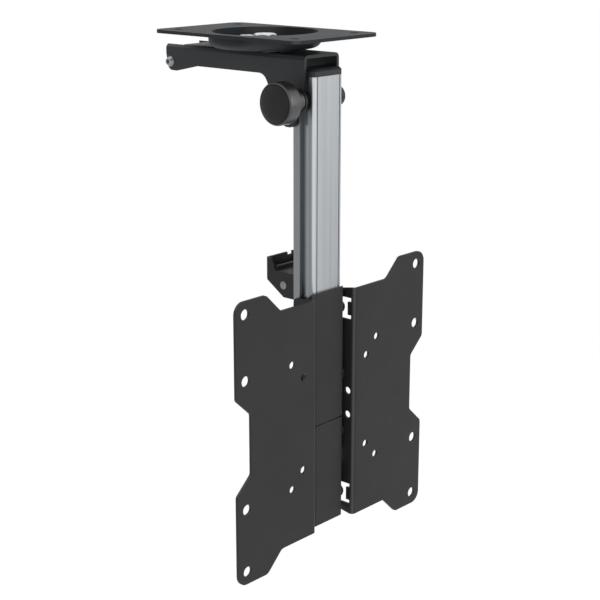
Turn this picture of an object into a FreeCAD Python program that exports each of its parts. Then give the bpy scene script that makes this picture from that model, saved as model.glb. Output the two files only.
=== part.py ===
import FreeCAD, Part

import os
import re

import Sketcher

# Ceiling mount for a television: a plate with a pressed dish, an arm that
# swivels under it, a column that folds up under the arm, and a head that
# takes the screen.
# Frame: origin at the middle of the plate's flat top, on the ceiling.
# +Z is up, the screen faces -Y and the folded column lies towards +Y.

SIZES = {
    # Ceiling plate
    "plate_width": 95,
    "plate_length": 150,
    "plate_sheet": 2.5,
    "plate_corner": 10,
    "ceiling_hole": 7,
    "ceiling_hole_across": 66,
    "ceiling_hole_along": 120,
    "dish_radius": 43,
    "dish_depth": 11.8,
    "dish_round": 6,
    "dish_lip_round": 1.2,
    # Swivel
    "swivel_bolt": 10,
    "swivel_head_flats": 16,
    "swivel_head_height": 6,
    "swivel_washer": 20,
    "swivel_washer_thickness": 1.5,
    "swivel_nut_flats": 16,
    "swivel_nut_height": 8,
    "swivel_limit": 45,
    "friction_washer": 30,
    "friction_washer_thickness": 1.5,
    "bush_wall": 1.5,
    "guide_radius": 19.5,
    "guide_bolt": 6,
    "guide_washer": 12.5,
    "guide_washer_thickness": 1.2,
    # Fits
    "running_clearance": 0.07,
    "hole_clearance": 0.3,
    "sliding_gap": 0.1,
    "bolt_end": 1.2,
    # Small hexagon screws
    "hex_flats": 10,
    "hex_head_height": 4,
    "hex_nut_height": 5,
    "small_washer": 12,
    "spacer_tube": 9.5,
    "small_washer_thickness": 1.2,
    # Arm
    "arm_width": 39,
    "arm_sheet": 2.5,
    "arm_bend": 4,
    "arm_front": 57.1,
    "arm_web_notch": 17.5,
    "arm_flange": 15.6,
    "arm_lobe": 20.7,
    "lobe_slope": 23,
    "lobe_flat": 9,
    "lobe_rake": 2.5,
    "lobe_round": 5,
    "ear_drop": 53.5,
    "ear_lean": 3,
    "ear_toe_front": 47,
    "ear_toe_rear": 36,
    "ear_heel": 17,
    "ear_round": 6,
    "ear_fillet": 9,
    # Fold pivot
    "pivot_forward": 52,
    "pivot_drop": 33,
    "pivot_bolt": 8,
    "sleeve_wall": 2,
    "pivot_head_radius": 7.8,
    "pivot_head_band": 4.5,
    "pivot_head_dome": 1.8,
    "pivot_neck": 8,
    "pivot_washer": 14,
    "fold_limit": 90,
    # Knob
    "knob_radius": 15.8,
    "knob_face_radius": 13.6,
    "knob_height": 26.2,
    "knob_dome": 1.6,
    "knob_dome_round": 1.5,
    "knob_rim_round": 1.8,
    "knob_hub_radius": 8,
    "knob_hub_height": 12.4,
    "knob_thread_depth": 19,
    "knob_insert_wall": 2.5,
    "knob_bolt_room": 1,
    "knob_washer": 17,
    "knob_washer_thickness": 1.5,
    # Strike studs at the arm's rear
    "stud_diameter": 5,
    "stud_head": 8.5,
    "stud_face": 5.3,
    "stud_head_height": 2.4,
    "stud_socket": 3.2,
    "stud_socket_depth": 1.9,
    "stud_along": 84.8,
    "stud_edge": 4.2,
    "stud_drop": 14,
    "stud_proud": 0.3,
    # Column
    "column_width": 33,
    "column_depth": 20.1,
    "column_before_pivot": 11.8,
    "column_above_pivot": 17.5,
    "column_length": 300,
    "column_wall": 2,
    "column_round": 3,
    "column_side_flat": 5.3,
    "column_step": 13.9,
    "column_step_depth": 3,
    "column_line_inset": 4,
    "column_line": 0.8,
    "column_line_depth": 0.5,
    "cap_height": 5.5,
    "cap_bevel": 1.6,
    "bottom_cap_height": 3,
    "plug_depth": 6,
    "plug_clearance": 0.2,
    # Catch on the back of the column
    "catch_drop": 124.4,
    "catch_height": 29.1,
    "catch_reach": 29.2,
    "catch_sheet": 1.8,
    "catch_bend": 2.5,
    "catch_cheek_drop": 9.1,
    "catch_cheek_flat": 19,
    "catch_cheek_rise": 24.5,
    "catch_toe": 10.4,
    "catch_chin": 12.5,
    "catch_ridge": 3,
    "catch_ridge_back": 6.2,
    "catch_ridge_height": 3.5,
    "catch_ridge_round": 0.9,
    "catch_slot_depth": 5,
    "catch_pin": 5,
    "catch_pin_head": 6.4,
    "catch_pin_head_height": 0.4,
    "catch_pin_back": 10.4,
    "catch_pin_drop": 19.5,
    "catch_screw": 4,
    "catch_screw_head": 7.5,
    "catch_screw_head_height": 3.4,
    "catch_screw_seat": 3.6,
    "catch_screw_thread": 3,
    "catch_screw_across": 16,
    "catch_screw_drop": 23,
    "catch_nick": 7,
    "catch_nick_width": 6,
    "catch_nick_depth": 2.5,
    # Screen head
    "head_drop": 288.3,
    "saddle_sheet": 2,
    "saddle_depth": 20.5,
    "saddle_over_wing": 1.5,
    "saddle_rise": 1,
    "saddle_shoulder": 5,
    "saddle_gap_near": 43,
    "saddle_gap_far": 54,
    "saddle_gap_back": 6.8,
    "saddle_bend": 4,
    "saddle_corner": 5,
    "saddle_slit": 1.2,
    "saddle_slit_width": 34,
    "saddle_slit_drop": 9.7,
    "clamp_inset": 17.9,
    "clamp_back": 16,
    "wing_bolt_across": 48,
    "wing_bolt_back": 14,
    "wing_bolt": 6,
    "wing_sheet": 2,
    "wing_bend": 3.5,
    "wing_ahead": 6.8,
    "wing_gap": 3.5,
    "wing_margin_across": 10,
    "wing_margin_up": 10,
    "wing_inner_height": 189.5,
    "wing_tab_width": 32,
    "wing_slope_width": 16,
    "wing_corner": 9,
    "wing_slope_round": 6,
    "wing_flange": 20.5,
    "wing_flange_rake": 3,
    "wing_flange_corner": 6,
    "notch_depth": 15,
    "notch_mouth": 74.5,
    "notch_floor": 47,
    "notch_round": 4,
    "slot_height": 17.5,
    "slot_front": 3.5,
    "tongue_height": 10.5,
    "tongue_length": 3.5,
    "flange_gap_near": 38,
    "flange_gap_far": 51,
    "flange_gap_front": 8.6,
    "tie_hole": 6,
    "tie_hole_across": 20,
    "tie_hole_back": 6.5,
    "vesa_large": 200,
    "vesa_medium": 100,
    "vesa_small": 75,
    "vesa_large_hole": 8.3,
    "vesa_small_hole": 6,
    # Room that a cutting outline reaches past the piece
    "past": 5,
}

PLACES = {
    # Heights, from the ceiling down
    "dish_floor": "plate_sheet - dish_depth",
    "arm_top": "-dish_depth - friction_washer_thickness",
    "arm_inside": "arm_top - arm_sheet",
    "pivot_y": "-pivot_forward",
    "pivot_z": "arm_top - pivot_drop",
    "column_front": "pivot_y - column_before_pivot",
    "column_back": "column_front + column_depth",
    "column_top": "pivot_z + column_above_pivot",
    "column_bottom": "column_top - column_length",
    "column_side": "column_width / 2",
    "cavity_side": "column_side - column_step_depth - column_wall",
    "arm_side": "arm_width / 2",
    "arm_inner_side": "arm_side - arm_sheet",
    "arm_rear": "stud_along + stud_edge",
    "arm_web_rear": "arm_rear - arm_web_notch",
    "lobe_full": "arm_rear - lobe_rake - lobe_flat",
    "lobe_start": "lobe_full - lobe_slope",
    "stud_z": "arm_top - stud_drop",
    "catch_top": "pivot_z - catch_drop",
    "catch_bottom": "catch_top - catch_height",
    "catch_rear": "column_back + catch_reach",
    "catch_inner_side": "column_side - catch_sheet",
    "head_z": "-head_drop",
    "saddle_front": "column_front - saddle_sheet",
    "saddle_back": "saddle_front + saddle_depth",
    "saddle_height": "wing_inner_height + saddle_over_wing",
    "clamp_across": "saddle_height - 2 * clamp_inset",
    "saddle_low": "head_z + saddle_rise - saddle_height / 2",
    "saddle_high": "head_z + saddle_rise + saddle_height / 2",
    "saddle_side": "column_side + saddle_sheet",
    "wing_front": "saddle_front - wing_ahead",
    "wing_side": "saddle_side + wing_gap",
    "wing_back": "wing_front + wing_flange",
    "wing_span": "vesa_large + 2 * wing_margin_across",
    "wing_height": "vesa_large + 2 * wing_margin_up",
    "clamp_y": "wing_front + clamp_back",
    "wing_bolt_y": "wing_front + wing_bolt_back",
}

NEAR = 1e-4

doc = FreeCAD.newDocument("ceiling_mount")
sheet = doc.addObject("Spreadsheet::Sheet", "Sizes")
for row, (size_name, size) in enumerate(SIZES.items(), start=1):
    sheet.set(f"A{row}", size_name)
    sheet.set(f"B{row}", str(size))
    sheet.setAlias(f"B{row}", size_name)
doc.recompute()

pieces = []


def expand(text):
    """Write out each place in a formula and name the sheet before each size."""

    def replace(match):
        word = match.group()
        if word in PLACES:
            return "(" + expand(PLACES[word]) + ")"
        if word in SIZES:
            return "Sizes." + word
        return word

    return re.sub(r"[a-z][a-z0-9_]*", replace, text)


def value(text):
    """Work out a formula of sizes and places as a number."""
    return float(sheet.evalExpression(expand(text)))


def finish(feature, label):
    """Name a finished piece and keep it for the hand-over."""
    feature.Label = label
    pieces.append(feature)
    return feature


# Sketches and solid features


def new_body(label):
    """Start a body whose label is the name of the piece."""
    body = doc.addObject("PartDesign::Body", label + "_body")
    return finish(body, label)


def new_sketch(body, plane, at="0"):
    """Put a sketch on one of the body's planes, moved to a world coordinate."""
    sketch = body.newObject("Sketcher::SketchObject", "sketch")
    planes = {origin.Role: origin for origin in body.Origin.OriginFeatures}
    sketch.AttachmentSupport = [(planes[plane + "_Plane"], "")]
    sketch.MapMode = "FlatFace"
    offset = f"-({at})" if plane == "XZ" else at
    sketch.setExpression("AttachmentOffset.Base.z", expand(offset))
    return sketch


def pin_point(sketch, geometry, point, across, up):
    """Tie a point of the sketch to the origin by two bound distances."""
    for direction, text in (("DistanceX", across), ("DistanceY", up)):
        rule = Sketcher.Constraint(direction, -1, 1, geometry, point, value(text))
        index = sketch.addConstraint(rule)
        sketch.setExpression(f"Constraints[{index}]", expand(text))


def add_outline(sketch, corners):
    """Draw a closed outline of straight lines through bound corners."""
    first = sketch.GeometryCount
    count = len(corners)
    points = [FreeCAD.Vector(value(u), value(v), 0) for u, v in corners]
    for index, point in enumerate(points):
        sketch.addGeometry(Part.LineSegment(point, points[(index + 1) % count]))
    for index, (across, up) in enumerate(corners):
        following = first + (index + 1) % count
        joint = Sketcher.Constraint("Coincident", first + index, 2, following, 1)
        sketch.addConstraint(joint)
        pin_point(sketch, first + index, 1, across, up)


def add_rectangle(sketch, left, right, low, high):
    """Draw a rectangle between bound edges."""
    corners = [(left, low), (right, low), (right, high), (left, high)]
    add_outline(sketch, corners)


def add_circle(sketch, across, up, diameter):
    """Draw a circle with a bound centre and diameter."""
    centre = FreeCAD.Vector(value(across), value(up), 0)
    axis = FreeCAD.Vector(0, 0, 1)
    circle = sketch.addGeometry(Part.Circle(centre, axis, value(diameter) / 2))
    pin_point(sketch, circle, 3, across, up)
    rule = Sketcher.Constraint("Diameter", circle, value(diameter))
    index = sketch.addConstraint(rule)
    sketch.setExpression(f"Constraints[{index}]", expand(diameter))


def pad(body, sketch, length, both_ways=False, backwards=False):
    """Raise a sketch into a solid of a bound length."""
    feature = body.newObject("PartDesign::Pad", "pad")
    feature.Profile = sketch
    feature.setExpression("Length", expand(length))
    feature.Midplane = both_ways
    feature.Reversed = backwards
    sketch.Visibility = False
    doc.recompute()
    return feature


def pocket(body, sketch, length=None, backwards=False):
    """Cut a sketch through the body, or to a bound depth."""
    feature = body.newObject("PartDesign::Pocket", "pocket")
    feature.Profile = sketch
    if length is None:
        feature.Type = "ThroughAll"
        feature.Midplane = True
    else:
        feature.setExpression("Length", expand(length))
        feature.Reversed = backwards
    before = feature.BaseFeature.Shape.Volume if feature.BaseFeature else None
    doc.recompute()
    if before is not None and feature.Shape.Volume > before - NEAR:
        raise RuntimeError(f"{body.Label}: a pocket cuts nothing")
    return feature


def edges_at(shape, *places):
    """Name the edges that lie whole at any of the given bound coordinates.

    A place may also give a radius, for round edges only.
    """
    wanted = [{axis: value(text) for axis, text in place.items()} for place in places]

    def lies_at(edge, place):
        ends = [vertex.Point for vertex in edge.Vertexes]
        ends.append(edge.CenterOfMass)
        for key, number in place.items():
            if key == "radius":
                if getattr(edge.Curve, "Radius", None) is None:
                    return False
                if abs(edge.Curve.Radius - number) > NEAR:
                    return False
            elif any(abs(getattr(end, key) - number) > NEAR for end in ends):
                return False
        return True

    return [
        f"Edge{index}"
        for index, edge in enumerate(shape.Edges, start=1)
        if any(lies_at(edge, place) for place in wanted)
    ]


def round_edges(body, radius, *places, kind="Fillet"):
    """Round or bevel the edges of the body's last feature at some places."""
    base = body.Tip
    names = edges_at(base.Shape, *places)
    if not names:
        raise RuntimeError(f"{body.Label}: no edge at {places}")
    feature = body.newObject("PartDesign::" + kind, kind.lower())
    feature.Base = (base, names)
    bound = "Radius" if kind == "Fillet" else "Size"
    feature.setExpression(bound, expand(radius))
    doc.recompute()
    return feature


# Turned pieces, hexagons and washers

ALONG_X = FreeCAD.Rotation(FreeCAD.Vector(0, 1, 0), 90)
ALONG_Y = FreeCAD.Rotation(FreeCAD.Vector(1, 0, 0), -90)
ALONG_Z = FreeCAD.Rotation()


def place(feature, turn, x, y, z):
    """Turn a primitive and bind its place to the sheet."""
    feature.Placement = FreeCAD.Placement(FreeCAD.Vector(), turn)
    for axis, text in (("x", x), ("y", y), ("z", z)):
        feature.setExpression("Placement.Base." + axis, expand(text))
    return feature


def rod(diameter, length, turn, x, y, z):
    """A round bar from a start point along its turned axis."""
    bar = doc.addObject("Part::Cylinder", "rod")
    bar.setExpression("Radius", expand(f"({diameter}) / 2"))
    bar.setExpression("Height", expand(length))
    return place(bar, turn, x, y, z)


def cone(lower, upper, length, turn, x, y, z):
    """A tapered round bar between two bound diameters."""
    taper = doc.addObject("Part::Cone", "cone")
    taper.setExpression("Radius1", expand(f"({lower}) / 2"))
    taper.setExpression("Radius2", expand(f"({upper}) / 2"))
    taper.setExpression("Height", expand(length))
    return place(taper, turn, x, y, z)


def hexagon(flats, length, turn, x, y, z):
    """A hexagonal bar of a bound width across its flats."""
    bar = doc.addObject("Part::Prism", "hexagon")
    bar.Polygon = 6
    bar.setExpression("Circumradius", expand(f"({flats}) / 2 / cos(30)"))
    bar.setExpression("Height", expand(length))
    return place(bar, turn, x, y, z)


def block(width, depth, height, x, y, z):
    """A square block from its lowest corner."""
    box = doc.addObject("Part::Box", "block")
    box.setExpression("Length", expand(width))
    box.setExpression("Width", expand(depth))
    box.setExpression("Height", expand(height))
    return place(box, ALONG_Z, x, y, z)


def ball(radius, x, y, z):
    """A ball about a bound centre."""
    sphere = doc.addObject("Part::Sphere", "ball")
    sphere.setExpression("Radius", expand(radius))
    return place(sphere, ALONG_Z, x, y, z)


def join(parts):
    """One solid from pieces that meet."""
    whole = doc.addObject("Part::MultiFuse", "join")
    whole.Shapes = parts
    whole.Refine = True
    return whole


def cut(base, tools):
    """A solid less one or more others."""
    tool = tools[0] if len(tools) == 1 else join(tools)
    rest = doc.addObject("Part::Cut", "cut")
    rest.Base = base
    rest.Tool = tool
    return rest


def common(first, second):
    """The room that two solids share."""
    shared = doc.addObject("Part::Common", "common")
    shared.Base = first
    shared.Tool = second
    return shared


def group(label, parts):
    """Separate equal solids kept as one named piece."""
    several = doc.addObject("Part::Compound", "group")
    several.Links = parts
    return finish(several, label)


def washer(outside, bore, thickness, turn, x, y, z):
    """A flat ring whose lower face lies at the start point."""
    disc = rod(outside, thickness, turn, x, y, z)
    return cut(disc, [rod(bore, thickness, turn, x, y, z)])


# Ceiling plate


def build_ceiling_plate():
    """Flat plate with a round pressed dish, arc slots and screw holes."""
    body = new_body("ceiling_plate")
    sketch = new_sketch(body, "XY")
    half_width, half_length = "plate_width / 2", "plate_length / 2"
    add_rectangle(sketch, "-" + half_width, half_width, "-" + half_length, half_length)
    pad(body, sketch, "plate_sheet", backwards=True)
    corners = [
        {"x": side + half_width, "y": end + half_length} for side in ("", "-") for end in ("", "-")
    ]
    round_edges(body, "plate_corner", *corners)
    mouth = new_sketch(body, "XY")
    add_circle(mouth, "0", "0", "2 * (dish_radius - plate_sheet)")
    pocket(body, mouth)
    wall = new_sketch(body, "XZ")
    bore = "(swivel_bolt + hole_clearance) / 2"
    add_outline(
        wall,
        [
            (bore, "-dish_depth"),
            ("dish_radius", "-dish_depth"),
            ("dish_radius", "0"),
            ("dish_radius - plate_sheet", "0"),
            ("dish_radius - plate_sheet", "dish_floor"),
            (bore, "dish_floor"),
        ],
    )
    dish = body.newObject("PartDesign::Revolution", "dish")
    dish.Profile = wall
    dish.ReferenceAxis = (wall, ["V_Axis"])
    dish.Angle = 360
    doc.recompute()
    round_edges(body, "dish_round", {"z": "-dish_depth", "radius": "dish_radius"})
    inner = {"z": "dish_floor", "radius": "dish_radius - plate_sheet"}
    round_edges(body, "dish_round - plate_sheet", inner)
    round_edges(body, "dish_lip_round", {"z": "-plate_sheet", "radius": "dish_radius"})
    cut_swivel_slots(body)
    holes = new_sketch(body, "XY")
    for side in ("", "-"):
        for end in ("", "-"):
            across = side + "ceiling_hole_across / 2"
            along = end + "ceiling_hole_along / 2"
            add_circle(holes, across, along, "ceiling_hole")
    pocket(body, holes)


def cut_swivel_slots(body):
    """Two arc slots in the dish floor, with round ends."""
    slot_width = "(guide_bolt + 2 * hole_clearance)"
    for end in ("", "-"):
        section = new_sketch(body, "YZ")
        near = f"{end}(guide_radius - {slot_width} / 2)"
        far = f"{end}(guide_radius + {slot_width} / 2)"
        add_rectangle(section, near, far, "-dish_depth - dish_lip_round", "dish_floor + dish_lip_round")
        slot = body.newObject("PartDesign::Groove", "slot")
        slot.Profile = section
        slot.ReferenceAxis = (section, ["V_Axis"])
        slot.Midplane = True
        slot.setExpression("Angle", expand("2 * swivel_limit"))
        doc.recompute()
    ends = new_sketch(body, "XY")
    for side in ("", "-"):
        for end in ("", "-"):
            across = side + "guide_radius * sin(swivel_limit)"
            along = end + "guide_radius * cos(swivel_limit)"
            add_circle(ends, across, along, slot_width)
    pocket(body, ends)


# Swivel parts


def build_swivel():
    """Centre bolt with its washers, nut and bush, and two guide screws."""
    bolt_bore = "swivel_bolt + 2 * running_clearance"
    head_seat = "dish_floor + swivel_washer_thickness"
    nut_seat = "arm_inside - sliding_gap - swivel_washer_thickness"
    bolt_foot = f"{nut_seat} - swivel_nut_height - bolt_end"
    head = hexagon("swivel_head_flats", "swivel_head_height", ALONG_Z, "0", "0", head_seat)
    shank = rod("swivel_bolt", f"{head_seat} - ({bolt_foot})", ALONG_Z, "0", "0", bolt_foot)
    finish(join([head, shank]), "swivel_bolt")
    for label, seat in (("swivel_head_washer", "dish_floor"), ("swivel_nut_washer", nut_seat)):
        thickness = "swivel_washer_thickness"
        ring = washer("swivel_washer", "swivel_bolt", thickness, ALONG_Z, "0", "0", seat)
        finish(ring, label)
    nut_low = f"{nut_seat} - swivel_nut_height"
    nut = hexagon("swivel_nut_flats", "swivel_nut_height", ALONG_Z, "0", "0", nut_low)
    thread = rod("swivel_bolt", "swivel_nut_height", ALONG_Z, "0", "0", nut_low)
    finish(cut(nut, [thread]), "swivel_nut")
    disc = washer("friction_washer", bolt_bore, "friction_washer_thickness", ALONG_Z, "0", "0", "arm_top")
    finish(disc, "friction_washer")
    outside = "swivel_bolt + 2 * (running_clearance + bush_wall)"
    bush = washer(outside, bolt_bore, "arm_sheet", ALONG_Z, "0", "0", "arm_inside")
    finish(bush, "swivel_bush")
    build_guides()


def build_guides():
    """Guide screws that ride in the arc slots, with washers and nuts."""
    seat = "dish_floor + sliding_gap"
    head_seat = f"{seat} + guide_washer_thickness"
    foot = "arm_inside - hex_nut_height - bolt_end"
    bolts, washers, nuts = [], [], []
    for end in ("-", ""):
        along = end + "guide_radius"
        head = hexagon("hex_flats", "hex_head_height", ALONG_Z, "0", along, head_seat)
        shank = rod("guide_bolt", f"{head_seat} - ({foot})", ALONG_Z, "0", along, foot)
        bolts.append(join([head, shank]))
        disc = washer("guide_washer", "guide_bolt", "guide_washer_thickness", ALONG_Z, "0", along, seat)
        washers.append(disc)
        low = "arm_inside - hex_nut_height"
        nut = hexagon("hex_flats", "hex_nut_height", ALONG_Z, "0", along, low)
        nuts.append(cut(nut, [rod("guide_bolt", "hex_nut_height", ALONG_Z, "0", along, low)]))
    group("guide_bolts", bolts)
    group("guide_washers", washers)
    group("guide_nuts", nuts)


# Arm


def build_arm_channel():
    """Folded channel, open below, with ears for the pivot and rear lobes."""
    body = new_body("arm_channel")
    section = new_sketch(body, "XZ", "-arm_front")
    toe = "arm_top - ear_drop"
    add_outline(
        section,
        [
            ("-arm_side", toe),
            ("-arm_side", "arm_top"),
            ("arm_side", "arm_top"),
            ("arm_side", toe),
            ("arm_inner_side", toe),
            ("arm_inner_side", "arm_inside"),
            ("-arm_inner_side", "arm_inside"),
            ("-arm_inner_side", toe),
        ],
    )
    pad(body, section, "arm_front + arm_rear", backwards=True)
    round_edges(
        body, "arm_bend", {"x": "arm_side", "z": "arm_top"}, {"x": "-arm_side", "z": "arm_top"}
    )
    inner = [{"x": side + "arm_inner_side", "z": "arm_inside"} for side in ("", "-")]
    round_edges(body, "arm_bend - arm_sheet", *inner)
    trim = new_sketch(body, "YZ")
    flange, lobe = "arm_top - arm_flange", "arm_top - arm_lobe"
    below = "arm_top - ear_drop - past"
    heel = ("-ear_heel", flange)
    toe_rear = ("-ear_toe_rear", toe)
    add_outline(
        trim,
        [
            toe_rear,
            heel,
            ("lobe_start", flange),
            ("lobe_full", lobe),
            ("arm_rear - lobe_rake", lobe),
            ("arm_rear", "arm_top - arm_flange / 2"),
            ("arm_rear + past", "arm_top - arm_flange / 2"),
            ("arm_rear + past", below),
            ("-ear_toe_rear", below),
        ],
    )
    pocket(body, trim)
    front = new_sketch(body, "YZ")
    add_outline(
        front,
        [
            ("-arm_front - past", "arm_top - arm_flange"),
            ("-arm_front", "arm_top - arm_flange"),
            ("-arm_front + ear_lean", "pivot_z"),
            ("-ear_toe_front", toe),
            ("-ear_toe_front", below),
            ("-arm_front - past", below),
        ],
    )
    pocket(body, front)
    round_edges(body, "ear_fillet", {"y": "-ear_heel", "z": flange})
    round_edges(body, "ear_round", {"y": "-ear_toe_rear", "z": toe}, {"y": "-ear_toe_front", "z": toe})
    round_edges(body, "lobe_round", {"y": "arm_rear - lobe_rake", "z": lobe})
    drill_arm(body)


def drill_arm(body):
    """Rear opening of the web, and the holes of the arm."""
    gap = new_sketch(body, "XY", "arm_top")
    add_rectangle(gap, "-arm_inner_side", "arm_inner_side", "arm_web_rear", "arm_rear + past")
    pocket(body, gap, "arm_bend")
    web = new_sketch(body, "XY", "arm_top")
    add_circle(web, "0", "0", "swivel_bolt + 2 * (running_clearance + bush_wall)")
    add_circle(web, "0", "guide_radius", "guide_bolt")
    add_circle(web, "0", "-guide_radius", "guide_bolt")
    pocket(body, web, "arm_sheet * 2")
    studs = new_sketch(body, "YZ")
    add_circle(studs, "stud_along", "stud_z", "stud_diameter")
    pocket(body, studs)
    left = new_sketch(body, "YZ")
    add_circle(left, "pivot_y", "pivot_z", "pivot_bolt + hole_clearance")
    pocket(body, left, "arm_side + past")
    right = new_sketch(body, "YZ")
    half = "pivot_neck / 2"
    add_rectangle(
        right, f"pivot_y - {half}", f"pivot_y + {half}", f"pivot_z - {half}", f"pivot_z + {half}"
    )
    pocket(body, right, "arm_side + past", backwards=True)


def build_studs():
    """Strike studs in the arm's rear lobes, with a dark socket outside."""
    studs = []
    for side, turn in (("-", FreeCAD.Rotation(FreeCAD.Vector(0, 1, 0), -90)), ("", ALONG_X)):
        outer = side + "arm_side"
        inner = side + "(arm_inner_side - stud_proud)"
        shank = rod("stud_diameter", "arm_sheet + stud_proud", turn, inner, "stud_along", "stud_z")
        head = cone("stud_head", "stud_face", "stud_head_height", turn, outer, "stud_along", "stud_z")
        start = f"{side}(arm_side + stud_head_height - stud_socket_depth)"
        socket = rod("stud_socket", "stud_socket_depth", turn, start, "stud_along", "stud_z")
        studs.append(cut(join([shank, head]), [socket]))
    group("strike_studs", studs)


# Fold pivot


def build_pivot():
    """Pivot bolt with a domed head, sleeve, washers, knob and its insert."""
    neck_half = "pivot_neck / 2"
    knob_seat = "arm_side + sliding_gap + knob_washer_thickness"
    bolt_left = f"{knob_seat} + sliding_gap + knob_thread_depth - knob_bolt_room"
    shank_length = f"{bolt_left} + arm_inner_side"
    shank = rod("pivot_bolt", shank_length, ALONG_X, f"-({bolt_left})", "pivot_y", "pivot_z")
    neck = block(
        "arm_sheet",
        "pivot_neck",
        "pivot_neck",
        "arm_inner_side",
        f"pivot_y - {neck_half}",
        f"pivot_z - {neck_half}",
    )
    dome_radius = "(pivot_head_radius * pivot_head_radius + pivot_head_dome * pivot_head_dome)"
    dome_radius += " / (2 * pivot_head_dome)"
    dome_seat = "arm_side + pivot_head_band"
    head = "2 * pivot_head_radius"
    dome = ball(dome_radius, f"{dome_seat} + pivot_head_dome - {dome_radius}", "pivot_y", "pivot_z")
    slice_ = rod(head, "pivot_head_dome", ALONG_X, dome_seat, "pivot_y", "pivot_z")
    band = rod(head, "pivot_head_band", ALONG_X, "arm_side", "pivot_y", "pivot_z")
    finish(join([shank, neck, band, common(dome, slice_)]), "pivot_bolt")
    bore = "pivot_bolt + 2 * running_clearance"
    sleeve = washer(
        "pivot_bolt + 2 * (running_clearance + sleeve_wall)",
        bore,
        "column_width",
        ALONG_X,
        "-column_side",
        "pivot_y",
        "pivot_z",
    )
    finish(sleeve, "pivot_sleeve")
    room = "(arm_inner_side - column_side - sliding_gap)"
    liners = [
        washer("pivot_washer", bore, room, ALONG_X, f"-column_side - {room}", "pivot_y", "pivot_z"),
        washer("pivot_washer", bore, room, ALONG_X, "column_side", "pivot_y", "pivot_z"),
    ]
    group("pivot_washers", liners)
    outer = washer(
        "knob_washer",
        "pivot_bolt",
        "knob_washer_thickness",
        ALONG_X,
        "-arm_side - knob_washer_thickness",
        "pivot_y",
        "pivot_z",
    )
    finish(outer, "knob_washer")
    build_knob()


def build_knob():
    """Round clamping knob with a hub, a band and a lower domed face."""
    seat = "(arm_side + knob_washer_thickness + sliding_gap)"
    insert = "pivot_bolt + 2 * (running_clearance + knob_insert_wall)"
    body = new_body("fold_knob")
    half = new_sketch(body, "XY", "pivot_z")
    shoulder = "knob_height - knob_dome"
    corners = [
        (seat, f"pivot_y + ({insert}) / 2"),
        (seat, "pivot_y + knob_hub_radius"),
        (f"{seat} + knob_hub_height", "pivot_y + knob_hub_radius"),
        (f"{seat} + knob_hub_height", "pivot_y + knob_radius"),
        (f"{seat} + {shoulder}", "pivot_y + knob_radius"),
        (f"{seat} + {shoulder}", "pivot_y + knob_face_radius"),
        (f"{seat} + knob_height", "pivot_y + knob_face_radius"),
        (f"{seat} + knob_height", "pivot_y"),
        (f"{seat} + knob_thread_depth", "pivot_y"),
        (f"{seat} + knob_thread_depth", f"pivot_y + ({insert}) / 2"),
    ]
    mirrored = [(f"-({across})", along) for across, along in corners]
    add_outline(half, mirrored)
    axis = new_sketch(body, "XY", "pivot_z")
    line = axis.addGeometry(Part.LineSegment(FreeCAD.Vector(0, 0, 0), FreeCAD.Vector(1, 0, 0)))
    pin_point(axis, line, 1, "0", "pivot_y")
    pin_point(axis, line, 2, "-arm_side", "pivot_y")
    turned = body.newObject("PartDesign::Revolution", "knob")
    turned.Profile = half
    turned.ReferenceAxis = (axis, ["Edge1"])
    turned.Angle = 360
    doc.recompute()
    face = f"-({seat} + knob_height)"
    band = f"-({seat} + {shoulder})"
    root = f"-({seat} + knob_hub_height)"
    round_edges(body, "knob_dome_round", {"x": face, "radius": "knob_face_radius"})
    rims = [{"x": band, "radius": "knob_radius"}, {"x": root, "radius": "knob_radius"}]
    round_edges(body, "knob_rim_round", *rims)
    ring = washer(
        insert,
        "pivot_bolt + 2 * running_clearance",
        "knob_thread_depth",
        ALONG_X,
        f"-({seat} + knob_thread_depth)",
        "pivot_y",
        "pivot_z",
    )
    finish(ring, "knob_insert")


# Column


def build_column():
    """Extruded column with a flat front, stepped sides and a hollow core."""
    body = new_body("column_extrusion")
    section = new_sketch(body, "XY", "column_bottom")
    line_out = "column_side - column_line_inset + column_line / 2"
    line_in = "column_side - column_line_inset - column_line / 2"
    right = [
        ("column_side", "column_front"),
        ("column_side", "column_front + column_side_flat"),
        ("column_side - column_step_depth", "column_front + column_step"),
        ("column_side", "column_front + column_step"),
        ("column_side", "column_back"),
    ]
    front = [
        (line_in, "column_front"),
        (line_in, "column_front + column_line_depth"),
        (line_out, "column_front + column_line_depth"),
        (line_out, "column_front"),
    ]
    half = front + right
    mirrored = [(f"-({across})", along) for across, along in reversed(half)]
    add_outline(section, half + mirrored)
    pad(body, section, "column_length")
    round_edges(
        body,
        "column_round",
        {"x": "column_side", "y": "column_front"},
        {"x": "-column_side", "y": "column_front"},
    )
    core = new_sketch(body, "XY", "column_bottom")
    add_rectangle(
        core, "-cavity_side", "cavity_side", "column_front + column_wall", "column_back - column_wall"
    )
    pocket(body, core)
    cross = new_sketch(body, "YZ")
    add_circle(cross, "pivot_y", "pivot_z", "pivot_bolt + 2 * (running_clearance + sleeve_wall)")
    add_circle(cross, "clamp_y", "head_z + clamp_across / 2", "guide_bolt")
    for sign in ("+", "-"):
        add_circle(cross, "wing_bolt_y", f"head_z {sign} wing_bolt_across / 2", "wing_bolt")
    pocket(body, cross)
    threads = new_sketch(body, "XZ", "column_back")
    for side in ("", "-"):
        across = side + "catch_screw_across / 2"
        add_circle(threads, across, "catch_top - catch_screw_drop", "catch_screw")
    pocket(body, threads, "catch_screw_thread", backwards=True)


def build_caps():
    """Moulded caps with plugs that seat in the column's hollow core."""
    build_cap("column_top_cap", "column_top", "cap_height", "column_top - plug_depth")
    build_cap("column_bottom_cap", "column_bottom - bottom_cap_height", "bottom_cap_height", "column_bottom")


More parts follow.
